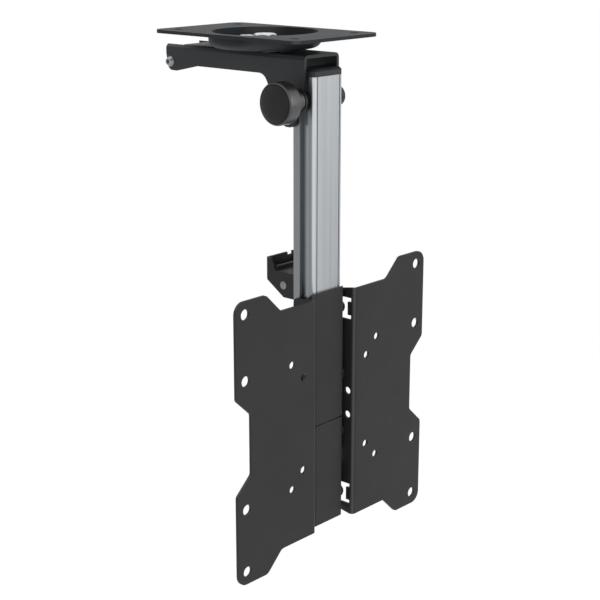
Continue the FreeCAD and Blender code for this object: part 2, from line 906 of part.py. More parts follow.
def build_cap(label, low, height, plug_low):
    """One cap: a bevelled lid and its plug."""
    body = new_body(label)
    lid = new_sketch(body, "XY", low)
    add_rectangle(lid, "-column_side", "column_side", "column_front", "column_back")
    pad(body, lid, height)
    upright = [{"x": side + "column_side", "y": "column_front"} for side in ("", "-")]
    round_edges(body, "column_round", *upright)
    face = f"{low} + {height}" if label == "column_top_cap" else low
    round_edges(body, "cap_bevel", {"z": face}, kind="Chamfer")
    plug = new_sketch(body, "XY", plug_low)
    add_rectangle(
        plug,
        "-cavity_side + plug_clearance",
        "cavity_side - plug_clearance",
        "column_front + column_wall + plug_clearance",
        "column_back - column_wall - plug_clearance",
    )
    pad(body, plug, "plug_depth")


# Catch behind the column


def build_catch():
    """Folded catch housing, its moulded core, the cross pin and two screws."""
    build_catch_housing()
    build_catch_core()
    pin_y, pin_z = "column_back + catch_pin_back", "catch_top - catch_pin_drop"
    end = "column_side + catch_pin_head_height"
    heads = [
        rod("catch_pin_head", "catch_pin_head_height", ALONG_X, f"-({end})", pin_y, pin_z),
        rod("catch_pin_head", "catch_pin_head_height", ALONG_X, "column_side", pin_y, pin_z),
    ]
    shank = rod("catch_pin", f"2 * ({end})", ALONG_X, f"-({end})", pin_y, pin_z)
    finish(join(heads + [shank]), "catch_pin")
    screws = []
    screw_z = "catch_top - catch_screw_drop"
    for side in ("-", ""):
        across = side + "catch_screw_across / 2"
        seat = "column_back + catch_screw_seat"
        head = rod("catch_screw_head", "catch_screw_head_height", ALONG_Y, across, seat, screw_z)
        thread_start = "column_back - column_wall"
        thread = rod("catch_screw", f"{seat} - ({thread_start})", ALONG_Y, across, thread_start, screw_z)
        screws.append(join([head, thread]))
    group("catch_screws", screws)


def build_catch_housing():
    """Sheet folded to a U behind the column, with raked cheeks."""
    body = new_body("catch_housing")
    plan = new_sketch(body, "XY", "catch_bottom")
    add_outline(
        plan,
        [
            ("-column_side", "column_back"),
            ("-column_side", "catch_rear"),
            ("column_side", "catch_rear"),
            ("column_side", "column_back"),
            ("catch_inner_side", "column_back"),
            ("catch_inner_side", "catch_rear - catch_sheet"),
            ("-catch_inner_side", "catch_rear - catch_sheet"),
            ("-catch_inner_side", "column_back"),
        ],
    )
    pad(body, plan, "catch_height")
    outer = [{"x": side + "column_side", "y": "catch_rear"} for side in ("", "-")]
    round_edges(body, "catch_bend", *outer)
    inner = [{"x": side + "catch_inner_side", "y": "catch_rear - catch_sheet"} for side in ("", "-")]
    round_edges(body, "catch_bend - catch_sheet", *inner)
    chin = new_sketch(body, "YZ")
    add_outline(
        chin,
        [
            ("column_back + catch_toe", "catch_bottom"),
            ("catch_rear", "catch_bottom + catch_chin"),
            ("catch_rear + past", "catch_bottom + catch_chin"),
            ("catch_rear + past", "catch_bottom - past"),
            ("column_back + catch_toe", "catch_bottom - past"),
        ],
    )
    pocket(body, chin)
    brow = new_sketch(body, "YZ")
    add_outline(
        brow,
        [
            ("column_back - past", "catch_top - catch_cheek_drop"),
            ("column_back + catch_cheek_flat", "catch_top - catch_cheek_drop"),
            ("column_back + catch_cheek_rise", "catch_top"),
            ("column_back + catch_cheek_rise", "catch_top + past"),
            ("column_back - past", "catch_top + past"),
        ],
    )
    pocket(body, brow)
    nick = new_sketch(body, "XZ", "catch_rear - catch_sheet")
    nick_end = "catch_nick + catch_nick_width"
    add_rectangle(nick, "catch_nick", nick_end, "catch_top - catch_nick_depth", "catch_top + past")
    pocket(body, nick, "catch_sheet")
    holes = new_sketch(body, "YZ")
    add_circle(holes, "column_back + catch_pin_back", "catch_top - catch_pin_drop", "catch_pin")
    pocket(body, holes)


def build_catch_core():
    """Moulded core between the cheeks, with a ridge and a deep slot on top."""
    body = new_body("catch_core")
    side = new_sketch(body, "YZ")
    shelf = "catch_top - catch_cheek_drop"
    slot_front = "catch_rear - catch_sheet - catch_ridge_back"
    inside = "catch_rear - catch_sheet"
    slot_floor = f"{shelf} - catch_slot_depth"
    chin_slope = "(catch_chin / (catch_reach - catch_toe))"
    chin_end = f"catch_bottom + {chin_slope} * (catch_reach - catch_sheet - catch_toe)"
    add_outline(
        side,
        [
            ("column_back", "catch_bottom"),
            ("column_back + catch_toe", "catch_bottom"),
            (inside, chin_end),
            (inside, slot_floor),
            (slot_front, slot_floor),
            (slot_front, f"{shelf} + catch_ridge_height"),
            (f"{slot_front} - catch_ridge", f"{shelf} + catch_ridge_height"),
            (f"{slot_front} - catch_ridge", shelf),
            ("column_back", shelf),
        ],
    )
    pad(body, side, "2 * catch_inner_side", both_ways=True)
    corners = [{"x": sign + "catch_inner_side", "y": inside} for sign in ("", "-")]
    round_edges(body, "catch_bend - catch_sheet", *corners)
    ridge_top = f"{shelf} + catch_ridge_height"
    tips = [
        {"y": slot_front, "z": ridge_top},
        {"y": f"{slot_front} - catch_ridge", "z": ridge_top},
    ]
    round_edges(body, "catch_ridge_round", *tips)
    bores = new_sketch(body, "YZ")
    add_circle(bores, "column_back + catch_pin_back", "catch_top - catch_pin_drop", "catch_pin")
    pocket(body, bores)
    screw_z = "catch_top - catch_screw_drop"
    pilots = new_sketch(body, "XZ", "column_back")
    wells = new_sketch(body, "XZ", "column_back + catch_screw_seat")
    for sign in ("", "-"):
        add_circle(pilots, sign + "catch_screw_across / 2", screw_z, "catch_screw")
        add_circle(wells, sign + "catch_screw_across / 2", screw_z, "catch_screw_head")
    pocket(body, pilots, "catch_reach")
    pocket(body, wells, "catch_reach")


# Screen head


def build_saddle():
    """U-shaped saddle that wraps the column, with a slit across its front."""
    body = new_body("saddle")
    plan = new_sketch(body, "XY", "saddle_low")
    add_outline(
        plan,
        [
            ("-saddle_side", "saddle_back"),
            ("-saddle_side", "saddle_front"),
            ("saddle_side", "saddle_front"),
            ("saddle_side", "saddle_back"),
            ("column_side", "saddle_back"),
            ("column_side", "saddle_front + saddle_sheet"),
            ("-column_side", "saddle_front + saddle_sheet"),
            ("-column_side", "saddle_back"),
        ],
    )
    pad(body, plan, "saddle_height")
    outer = [{"x": side + "saddle_side", "y": "saddle_front"} for side in ("", "-")]
    round_edges(body, "saddle_bend", *outer)
    inner = [{"x": side + "column_side", "y": "saddle_front + saddle_sheet"} for side in ("", "-")]
    round_edges(body, "saddle_bend - saddle_sheet", *inner)
    cut_saddle_sides(body)
    slit = new_sketch(body, "XZ", "saddle_front")
    middle = "head_z - saddle_slit_drop"
    add_rectangle(
        slit,
        "-saddle_slit_width / 2",
        "saddle_slit_width / 2",
        f"{middle} - saddle_slit / 2",
        f"{middle} + saddle_slit / 2",
    )
    pocket(body, slit, "saddle_bend")


def cut_saddle_sides(body):
    """Lowered shoulders, an open gap and the bolt holes in both sides."""
    relief_front = "saddle_front + saddle_sheet"
    relief_rear = "saddle_front + saddle_sheet + saddle_shoulder"
    relief = new_sketch(body, "YZ")
    for sign, end in (("+", "saddle_high"), ("-", "saddle_low")):
        shoulder = f"{end} {'-' if sign == '+' else '+'} saddle_shoulder"
        add_outline(
            relief,
            [
                (relief_front, end),
                (relief_rear, shoulder),
                ("saddle_back + past", shoulder),
                ("saddle_back + past", f"{end} {sign} past"),
                (relief_front, f"{end} {sign} past"),
            ],
        )
        add_rectangle(
            relief,
            "saddle_front + saddle_gap_back",
            "saddle_back + past",
            f"head_z {sign} saddle_gap_near",
            f"head_z {sign} saddle_gap_far",
        )
        add_circle(relief, "clamp_y", f"head_z {sign} clamp_across / 2", "guide_bolt")
        add_circle(relief, "wing_bolt_y", f"head_z {sign} wing_bolt_across / 2", "wing_bolt")
    pocket(body, relief)
    corners = [
        {"y": "saddle_back", "z": "saddle_high - saddle_shoulder"},
        {"y": "saddle_back", "z": "saddle_low + saddle_shoulder"},
    ]
    round_edges(body, "saddle_corner", *corners)


def wing_outline(side):
    """Corners of a wing from its inner top, round by the outer edge."""
    outer = f"{side}wing_span / 2"
    inner = f"{side}wing_side"
    notch = f"{side}(wing_span / 2 - notch_depth)"
    tab = f"{side}(wing_span / 2 - wing_tab_width)"
    slope = f"{side}(wing_span / 2 - wing_tab_width - wing_slope_width)"
    upper = [
        (inner, "wing_inner_height / 2"),
        (slope, "wing_inner_height / 2"),
        (tab, "wing_height / 2"),
        (outer, "wing_height / 2"),
        (outer, "notch_mouth / 2"),
        (notch, "notch_floor / 2"),
    ]
    corners = [(across, f"head_z + {up}") for across, up in upper]
    corners += [(across, f"head_z - {up}") for across, up in reversed(upper)]
    return corners


def build_wing(label, side):
    """Flat wing with a notched edge, an inner flange and the screen's holes."""
    body = new_body(label)
    outline = new_sketch(body, "XZ", "wing_front")
    corners = wing_outline(side)
    add_outline(outline, corners)
    pad(body, outline, "wing_sheet", backwards=True)
    flange = new_sketch(body, "XZ", "wing_front")
    high, low = "head_z + wing_inner_height / 2", "head_z - wing_inner_height / 2"
    edges = [f"{side}wing_side", f"{side}(wing_side + wing_sheet)"]
    add_rectangle(flange, edges[0], edges[1], low, high)
    pad(body, flange, "wing_flange", backwards=True)
    places = {corner: {"x": corner[0], "z": corner[1]} for corner in corners}
    names = list(places.values())
    slopes = [names[1], names[2], names[9], names[10]]
    round_edges(body, "wing_corner", names[3], names[8])
    round_edges(body, "wing_slope_round", *slopes)
    round_edges(body, "notch_round", names[4], names[5], names[6], names[7])
    round_edges(body, "wing_bend", {"x": f"{side}wing_side", "y": "wing_front"})
    crease = {"x": f"{side}(wing_side + wing_sheet)", "y": "wing_front + wing_sheet"}
    round_edges(body, "wing_bend - wing_sheet", crease)
    cut_wing_holes(body, side)
    cut_flange_openings(body)


def cut_wing_holes(body, side):
    """Screen holes on the standard squares."""
    holes = new_sketch(body, "XZ", "wing_front")
    for sign in ("+", "-"):
        large = f"{side}vesa_large / 2"
        medium = f"{side}vesa_medium / 2"
        small = f"{side}vesa_small / 2"
        add_circle(holes, large, f"head_z {sign} vesa_large / 2", "vesa_large_hole")
        add_circle(holes, large, f"head_z {sign} vesa_medium / 2", "vesa_large_hole")
        add_circle(holes, medium, f"head_z {sign} vesa_medium / 2", "vesa_small_hole")
        add_circle(holes, small, f"head_z {sign} vesa_small / 2", "vesa_small_hole")
    pocket(body, holes, "wing_sheet")


def cut_flange_openings(body):
    """Raked ends, slots round the clamp nuts, gaps and holes in the flange."""
    openings = new_sketch(body, "YZ")
    beyond = "wing_back + past"
    for sign, other in (("+", "-"), ("-", "+")):
        end = f"head_z {sign} wing_inner_height / 2"
        raked = f"{end} {other} wing_flange_rake"
        corners = [("wing_front + wing_bend", end), ("wing_back", raked), (beyond, raked)]
        corners += [(beyond, f"{end} {sign} past"), ("wing_front + wing_bend", f"{end} {sign} past")]
        add_outline(openings, corners)
        add_nut_slot(openings, f"head_z {sign} clamp_across / 2", beyond)
        near, far = f"head_z {sign} flange_gap_near", f"head_z {sign} flange_gap_far"
        add_rectangle(openings, "wing_front + flange_gap_front", beyond, near, far)
        tie_z = f"head_z {sign} tie_hole_across / 2"
        add_circle(openings, "wing_front + tie_hole_back", tie_z, "tie_hole")
        add_circle(openings, "wing_bolt_y", f"head_z {sign} wing_bolt_across / 2", "wing_bolt")
    pocket(body, openings)
    ends = [
        {"y": "wing_back", "z": "head_z + wing_inner_height / 2 - wing_flange_rake"},
        {"y": "wing_back", "z": "head_z - wing_inner_height / 2 + wing_flange_rake"},
    ]
    round_edges(body, "wing_flange_corner", *ends)


def add_nut_slot(sketch, middle, beyond):
    """Slot open at the back, with a short tongue at its front."""
    front = "wing_front + slot_front"
    tip = f"{front} + tongue_length"
    add_outline(
        sketch,
        [
            (front, f"{middle} - slot_height / 2"),
            (beyond, f"{middle} - slot_height / 2"),
            (beyond, f"{middle} + slot_height / 2"),
            (front, f"{middle} + slot_height / 2"),
            (front, f"{middle} + tongue_height / 2"),
            (tip, f"{middle} + tongue_height / 2"),
            (tip, f"{middle} - tongue_height / 2"),
            (front, f"{middle} - tongue_height / 2"),
        ],
    )


def hex_screw(along, height, seat, diameter):
    """Hexagon screw across the head, from the left seat to past the right nut."""
    head_left = f"-({seat}) - hex_head_height"
    head = hexagon("hex_flats", "hex_head_height", ALONG_X, head_left, along, height)
    length = f"2 * ({seat}) + hex_nut_height + bolt_end"
    return join([head, rod(diameter, length, ALONG_X, f"-({seat})", along, height)])


def build_head_screws():
    """Clamp screws of the saddle, bolts of the wings, with washers and nuts."""
    rows = (
        ("clamp", "clamp_y", "clamp_across", "saddle_side", "guide_bolt"),
        ("wing", "wing_bolt_y", "wing_bolt_across", "wing_side + wing_sheet", "wing_bolt"),
    )
    for name, along, across, face, diameter in rows:
        screws, washers, nuts = [], [], []
        seat = f"{face} + small_washer_thickness"
        for sign in ("+", "-"):
            height = f"head_z {sign} {across} / 2"
            screws.append(hex_screw(along, height, seat, diameter))
            for start in (f"-({seat})", face):
                thickness = "small_washer_thickness"
                disc = washer("small_washer", diameter, thickness, ALONG_X, start, along, height)
                washers.append(disc)
            nut = hexagon("hex_flats", "hex_nut_height", ALONG_X, seat, along, height)
            nuts.append(cut(nut, [rod(diameter, "hex_nut_height", ALONG_X, seat, along, height)]))
        group(name + "_bolts", screws)
        group(name + "_washers", washers)
        group(name + "_nuts", nuts)
    spacers = []
    for sign in ("+", "-"):
        height = f"head_z {sign} wing_bolt_across / 2"
        for start in ("-wing_side", "saddle_side"):
            ring = washer("small_washer", "wing_bolt", "wing_gap", ALONG_X, start, "wing_bolt_y", height)
            spacers.append(ring)
    group("wing_spacers", spacers)
    low = "head_z - clamp_across / 2"
    tube = washer("spacer_tube", "guide_bolt", "column_width", ALONG_X, "-column_side", "clamp_y", low)
    finish(tube, "saddle_spacer")


def check_and_export():
    """Stop on a failed feature or shape, then write each piece as STEP."""
    doc.recompute()
    for item in doc.Objects:
        if "Invalid" in item.State or "Error" in item.State:
            raise RuntimeError(f"{item.Name} ({item.Label}) failed: {item.State}")
    os.makedirs("parts", exist_ok=True)
    for piece in pieces:
        shape = piece.Shape
        if shape.isNull() or not shape.isValid() or not shape.Solids:
            raise RuntimeError(f"{piece.Label} has no valid solid")
    for piece in pieces:
        piece.Shape.exportStep(f"parts/{piece.Label}.step")


build_ceiling_plate()
build_swivel()
build_arm_channel()
build_studs()
build_pivot()
build_column()
build_caps()
build_catch()
build_saddle()
build_wing("left_wing", "-")
build_wing("right_wing", "")
build_head_screws()
check_and_export()
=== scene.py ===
"""Dress and light the folding ceiling mount around its CAD frame."""

from __future__ import annotations

import logging
import math
from dataclasses import dataclass, replace
from enum import Enum

import bmesh
import bpy
from mathutils import Matrix, Vector

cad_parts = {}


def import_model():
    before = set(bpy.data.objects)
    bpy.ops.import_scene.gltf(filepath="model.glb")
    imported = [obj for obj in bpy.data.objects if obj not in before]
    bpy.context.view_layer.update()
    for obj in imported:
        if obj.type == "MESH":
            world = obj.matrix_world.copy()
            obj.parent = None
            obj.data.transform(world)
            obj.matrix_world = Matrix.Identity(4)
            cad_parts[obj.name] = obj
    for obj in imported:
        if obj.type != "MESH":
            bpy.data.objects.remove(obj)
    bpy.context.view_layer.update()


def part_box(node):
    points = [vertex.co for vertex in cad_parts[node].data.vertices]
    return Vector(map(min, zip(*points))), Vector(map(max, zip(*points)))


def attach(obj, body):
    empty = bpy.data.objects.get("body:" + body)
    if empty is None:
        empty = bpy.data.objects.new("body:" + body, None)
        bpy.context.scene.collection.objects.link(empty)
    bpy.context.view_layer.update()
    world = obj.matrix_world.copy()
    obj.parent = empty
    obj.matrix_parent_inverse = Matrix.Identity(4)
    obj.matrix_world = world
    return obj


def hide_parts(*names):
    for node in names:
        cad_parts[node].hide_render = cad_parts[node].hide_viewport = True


LOG = logging.getLogger("ceiling_mount")
MM = 0.001

Colour = tuple[float, float, float]
Place = tuple[float, float, float]
Scale = tuple[float, float, float]
Span = tuple[float, float]
Socket = bpy.types.NodeSocket

# Shares and steps of the screws and lock nuts
HEX_FACE_SHARE = 0.93
HEX_CHAMFER = math.radians(30.0)
SEAT_FACE = 0.25 * MM
THREAD_DEPTH_SHARE = 0.6
THREAD_STEPS = 10
NUT_HEX_SHARE = 0.66
NUT_LIP_SHARE = 0.12
NUT_RING_SHARE = 0.55

# Limits and fineness of the built meshes
ROUND_SEGMENTS = 72
SMOOTH_LIMIT = math.radians(35.0)
MERGE_DISTANCE = 1e-7
PLACE_DIGITS = 6
X, Y, Z = range(3)

# Noises and masks that the finishes share
EVEN = (1.0, 1.0, 1.0)
WHITE = (1.0, 1.0, 1.0, 1.0)
NOISE_START = 0.3
NOISE_END = 0.7
FINE_DETAIL = 2.0
MIDDLE_DETAIL = 3.0
RICH_DETAIL = 4.0
EDGE_START = 0.72
EDGE_END = 0.99
BEVEL_SAMPLES = 4
CREVICE_SAMPLES = 6


class Axis(Enum):
    """Ways that a turned piece can point, as a turn of +Z about an axis."""

    RIGHT = (90.0, "Y")
    LEFT = (-90.0, "Y")
    DOWN = (180.0, "X")

    def frame(self, at: Vector) -> Matrix:
        """Give the matrix that points +Z this way from a place.

        Args:
            at: Start point of the piece.

        Returns:
            The matrix.
        """
        angle, about = self.value
        return Matrix.Translation(at) @ Matrix.Rotation(math.radians(angle), 4, about)


class Slot(Enum):
    """Material slots that the finishes belong to."""

    BLACK_STEEL = "black_steel"
    ARM_STEEL = "arm_steel"
    COLUMN = "column_aluminium"
    ZINC = "zinc"
    DARK_HARDWARE = "dark_hardware"
    PLASTIC = "black_plastic"
    KNOB = "knob_plastic"
    NYLON = "nylon"
    SLEEVE = "steel_sleeve"
    BRASS = "brass_insert"


class NodeTree:
    """Small helper that adds and links shader nodes."""

    def __init__(self, name: str) -> None:
        """Start an empty material.

        Args:
            name: Name of the material.
        """
        self.material = bpy.data.materials.new(name)
        self.material.use_nodes = True
        self.tree = self.material.node_tree
        self.tree.nodes.clear()
        self.output = self.add("ShaderNodeOutputMaterial")

    def add(self, kind: str, **values: object) -> bpy.types.Node:
        """Add a node and set its attributes.

        Args:
            kind: Blender's node type.
            values: Attributes of the node.

        Returns:
            The new node.
        """
        node = self.tree.nodes.new(kind)
        for key, item in values.items():
            setattr(node, key, item)
        return node

    def link(self, start: Socket, end: Socket) -> None:
        """Link two sockets."""
        self.tree.links.new(start, end)

    def position(self, stretch: Scale) -> Socket:
        """Give the piece's own coordinates, scaled on each axis.

        Args:
            stretch: Scale on X, Y and Z.

        Returns:
            The socket of the scaled coordinates.
        """
        source = self.add("ShaderNodeTexCoord")
        scale = self.add("ShaderNodeMapping")
        scale.inputs["Scale"].default_value = stretch
        self.link(source.outputs["Object"], scale.inputs["Vector"])
        return scale.outputs["Vector"]

    def noise(self, scale: float, detail: float, stretch: Scale = EVEN) -> Socket:
        """Add a noise texture.

        Args:
            scale: Cells per metre.
            detail: Octaves of the noise.
            stretch: Extra scale on each axis.

        Returns:
            The socket of the noise's value.
        """
        texture = self.add("ShaderNodeTexNoise")
        texture.inputs["Scale"].default_value = scale
        texture.inputs["Detail"].default_value = detail
        self.link(self.position(stretch), texture.inputs["Vector"])
        return texture.outputs["Fac"]

    def ramp(
        self, source: Socket, low: float, high: float, start: float = NOISE_START, end: float = NOISE_END
    ) -> Socket:
        """Map a value to a range.

        Args:
            source: The value to map.
            low: Result at start.
            high: Result at end.
            start: Lower end of the input.
            end: Upper end of the input.

        Returns:
            The socket of the mapped value.
        """
        remap = self.add("ShaderNodeMapRange")
        remap.inputs["From Min"].default_value = start
        remap.inputs["From Max"].default_value = end
        remap.inputs["To Min"].default_value = low
        remap.inputs["To Max"].default_value = high
        self.link(source, remap.inputs["Value"])
        return remap.outputs["Result"]

    def mix(self, factor: Socket, first: Colour | Socket, second: Colour | Socket) -> Socket:
        """Mix two colours, each plain or from a socket.

        Args:
            factor: Share of the second colour, from 0 to 1.
            first: Colour at 0.
            second: Colour at 1.

        Returns:
            The socket of the mixed colour.
        """
        node = self.add("ShaderNodeMix", data_type="RGBA")
        ends = [socket for socket in node.inputs if socket.type == "RGBA"]
        for end, colour in zip(ends, (first, second)):
            if isinstance(colour, tuple):
                end.default_value = (*colour, 1.0)
            else:
                self.link(colour, end)
        self.link(factor, node.inputs["Factor"])
        return [socket for socket in node.outputs if socket.type == "RGBA"][0]

    def facing_sideways(self, start: float, end: float) -> Socket:
        """Find faces that look along the object's X axis, for light and shade painted by how a face is
        turned.

        Args:
            start: Share of X in the normal at which the mask starts.
            end: Share of X in the normal at which it is full.

        Returns:
            The socket of the mask.
        """
        source = self.add("ShaderNodeTexCoord")
        parts = self.add("ShaderNodeSeparateXYZ")
        self.link(source.outputs["Normal"], parts.inputs["Vector"])
        size = self.add("ShaderNodeMath", operation="ABSOLUTE")
        self.link(parts.outputs["X"], size.inputs[0])
        return self.ramp(size.outputs[0], 0.0, 1.0, start, end)

    def groove_shade_mask(self, reach: float, start: float, end: float) -> Socket:
        """Find narrow steps and grooves, where shade is painted.

        Args:
            reach: How far away a facing wall still counts, in metres.
            start: Openness at which the mask is full.
            end: Openness at which it ends.

        Returns:
            The socket of the mask.
        """
        open_sky = self.add("ShaderNodeAmbientOcclusion", samples=CREVICE_SAMPLES, only_local=True)
        open_sky.inputs["Distance"].default_value = reach
        return self.ramp(open_sky.outputs["AO"], 1.0, 0.0, start, end)

    def soft_edges(self, radius: float) -> bpy.types.Node:
        """Add a bevel node that rounds the look of sharp edges.

        Args:
            radius: Radius of the rounding in metres.

        Returns:
            The bevel node.
        """
        bevel = self.add("ShaderNodeBevel", samples=BEVEL_SAMPLES)
        bevel.inputs["Radius"].default_value = radius
        return bevel

    def edge_mask(self, bevel: bpy.types.Node) -> Socket:
        """Find edges by comparing the rounded normal with the flat one.

        Args:
            bevel: The bevel node.

        Returns:
            The socket of a value that rises towards an edge.
        """
        geometry = self.add("ShaderNodeNewGeometry")
        dot = self.add("ShaderNodeVectorMath", operation="DOT_PRODUCT")
        self.link(bevel.outputs["Normal"], dot.inputs[0])
        self.link(geometry.outputs["Normal"], dot.inputs[1])
        return self.ramp(dot.outputs["Value"], 1.0, 0.0, EDGE_START, EDGE_END)

    def bump(self, height: Socket, distance: float, base: bpy.types.Node) -> Socket:
        """Add a bump on a rounded normal.

        Args:
            height: The height value.
            distance: Height of the bump in metres.
            base: Node that gives the normal below the bump.

        Returns:
            The socket of the bumped normal.
        """
        node = self.add("ShaderNodeBump")
        node.inputs["Distance"].default_value = distance
        node.inputs["Strength"].default_value = 1.0
        self.link(height, node.inputs["Height"])
        self.link(base.outputs["Normal"], node.inputs["Normal"])
        return node.outputs["Normal"]

    def surface(self, **values: float) -> bpy.types.Node:
        """Add the main shader with plain values on its own sockets.

        Args:
            values: Socket names with underscores for spaces, and their values.

        Returns:
            The shader node, linked to the output.
        """
        shader = self.add("ShaderNodeBsdfPrincipled")
        for key, number in values.items():
            shader.inputs[key.replace("_", " ")].default_value = number
        self.link(shader.outputs["BSDF"], self.output.inputs["Surface"])
        return shader


@dataclass(frozen=True)
class Finish:
    """A finish with its own procedural material.

    In the finishes, densities are cells of noise per metre, and heights, reaches and radii are
    in metres. Where light or shade is painted by how a face is turned, its span is given by the share of X
    in a face's normal.
    """

    name: str
    slot: Slot

    def make(self) -> bpy.types.Material:
        """Give the finish's material, made on first use."""
        found = bpy.data.materials.get(self.name)
        return found if found else self.build()

    def build(self) -> bpy.types.Material:
        """Build the material."""
        raise NotImplementedError


@dataclass(frozen=True)
class PowderCoat(Finish):
    """Baked powder coat: faint orange peel, cloudy sheen, lighter worn edges, and a painted highlight on
    bends.
    """

    dark: Colour = (0.0182, 0.0182, 0.0185)
    pale: Colour = (0.0228, 0.0228, 0.0232)
    edge: Colour = (0.055, 0.055, 0.056)
    # Painted highlight: a lighter colour for faces turned part way to X, where the sheet's bends catch the
    # light.
    bend_highlight: Colour = (0.072, 0.072, 0.073)
    bend_highlight_start: Span = (0.35, 0.6)
    bend_highlight_end: Span = (0.82, 0.95)
    gloss: float = 0.22
    roughness: Span = (0.46, 0.52)
    cloud_density: float = 14.0
    sheen_density: float = 60.0
    wear_density: float = 160.0
    wear_range: Span = (0.15, 0.9)
    peel_density: float = 900.0
    peel_height: float = 0.00003
    edge_radius: float = 0.0005

    def build(self) -> bpy.types.Material:
        """Build the coat's material.

        Returns:
            The material.
        """
        nodes = NodeTree(self.name)
        shader = nodes.surface(Metallic=0.0, Specular_IOR_Level=self.gloss)
        bevel = nodes.soft_edges(self.edge_radius)
        clouds = nodes.ramp(nodes.noise(self.cloud_density, RICH_DETAIL), 0.0, 1.0)
        body = nodes.mix(clouds, self.dark, self.pale)
        # Painted highlight on the bends: lighter colour where the normal is turned part way to X.
        turned = nodes.add("ShaderNodeMath", operation="SUBTRACT", use_clamp=True)
        nodes.link(nodes.facing_sideways(*self.bend_highlight_start), turned.inputs[0])
        nodes.link(nodes.facing_sideways(*self.bend_highlight_end), turned.inputs[1])
        body = nodes.mix(turned.outputs[0], body, self.bend_highlight)
        wear = nodes.add("ShaderNodeMath", operation="MULTIPLY")
        nodes.link(nodes.edge_mask(bevel), wear.inputs[0])
        patches = nodes.noise(self.wear_density, MIDDLE_DETAIL)
        nodes.link(nodes.ramp(patches, *self.wear_range), wear.inputs[1])
        nodes.link(nodes.mix(wear.outputs[0], body, self.edge), shader.inputs["Base Color"])
        sheen = nodes.noise(self.sheen_density, RICH_DETAIL)
        nodes.link(nodes.ramp(sheen, *self.roughness), shader.inputs["Roughness"])
        peel = nodes.noise(self.peel_density, FINE_DETAIL)
        nodes.link(nodes.bump(peel, self.peel_height, bevel), shader.inputs["Normal"])
        return nodes.material


@dataclass(frozen=True)
class AnodisedAluminium(Finish):
    """Satin anodised extrusion: brushed front and die lines, with a painted highlight on the rounded
    corners, painted shade on the stepped sides and painted shade in the grooves.
    """

    dark: Colour = (0.345, 0.358, 0.37)
    pale: Colour = (0.405, 0.42, 0.433)
    # Painted highlight: a paler colour on the rounded corners between the front and the sides.
    corner: Colour = (0.56, 0.58, 0.6)
    corner_highlight_turn: Span = (0.2, 0.5)
    # Painted shade: the sides that look along X get a darker colour.
    shaded_side_dark: Colour = (0.19, 0.203, 0.212)
    shaded_side_pale: Colour = (0.25, 0.266, 0.278)
    shaded_side_turn: Span = (0.8, 0.97)
    # Painted shade: a darker colour in narrow steps and grooves, where ambient occlusion finds facing walls.
    painted_groove_shade: Colour = (0.2, 0.212, 0.222)
    groove_shade_reach: float = 0.006
    groove_shade_openness: Span = (0.3, 0.7)
    roughness: Span = (0.3, 0.42)
    streak_density: float = 240.0
    line_density: float = 1600.0
    line_stretch: float = 0.012
    line_height: float = 0.000012
    edge_radius: float = 0.0003

    def build(self) -> bpy.types.Material:
        """Build the extrusion's material.

        Returns:
            The material.
        """
        nodes = NodeTree(self.name)
        shader = nodes.surface(Metallic=1.0)
        bevel = nodes.soft_edges(self.edge_radius)
        along = (1.0, 1.0, self.line_stretch)
        lines = nodes.noise(self.line_density, FINE_DETAIL, along)
        streaks = nodes.ramp(nodes.noise(self.streak_density, MIDDLE_DETAIL, along), 0.0, 1.0)
        front = nodes.mix(streaks, self.dark, self.pale)
        # Painted shade: darker copies of the streaked colour for the sides that look along X.
        sides = nodes.mix(streaks, self.shaded_side_dark, self.shaded_side_pale)
        # Painted highlight on the rounded corners.
        rounded = nodes.mix(nodes.facing_sideways(*self.corner_highlight_turn), front, self.corner)
        skin = nodes.mix(nodes.facing_sideways(*self.shaded_side_turn), rounded, sides)
        # Painted shade in the grooves and steps, found by ambient occlusion.
        groove_shade = nodes.groove_shade_mask(self.groove_shade_reach, *self.groove_shade_openness)
        nodes.link(nodes.mix(groove_shade, skin, self.painted_groove_shade), shader.inputs["Base Color"])
        nodes.link(nodes.ramp(lines, *self.roughness), shader.inputs["Roughness"])
        nodes.link(nodes.bump(lines, self.line_height, bevel), shader.inputs["Normal"])
        return nodes.material


@dataclass(frozen=True)
class PlatedMetal(Finish):
    """Plated or bare metal of a screw, washer, sleeve or insert."""

    dark: Colour = (0.56, 0.58, 0.61)
    pale: Colour = (0.78, 0.79, 0.81)
    roughness: Span = (0.2, 0.36)
    metallic: float = 1.0
    cloud_density: float = 180.0
    grain_density: float = 420.0
    grain_height: float = 0.00001
    edge_radius: float = 0.0002

    def build(self) -> bpy.types.Material:
        """Build the plating's material.

        Returns:
            The material.
        """
        nodes = NodeTree(self.name)
        shader = nodes.surface(Metallic=self.metallic)
        bevel = nodes.soft_edges(self.edge_radius)
        clouds = nodes.ramp(nodes.noise(self.cloud_density, RICH_DETAIL), 0.0, 1.0)
        nodes.link(nodes.mix(clouds, self.dark, self.pale), shader.inputs["Base Color"])
        grain = nodes.noise(self.grain_density, RICH_DETAIL)
        nodes.link(nodes.ramp(grain, *self.roughness), shader.inputs["Roughness"])
        nodes.link(nodes.bump(grain, self.grain_height, bevel), shader.inputs["Normal"])
        return nodes.material


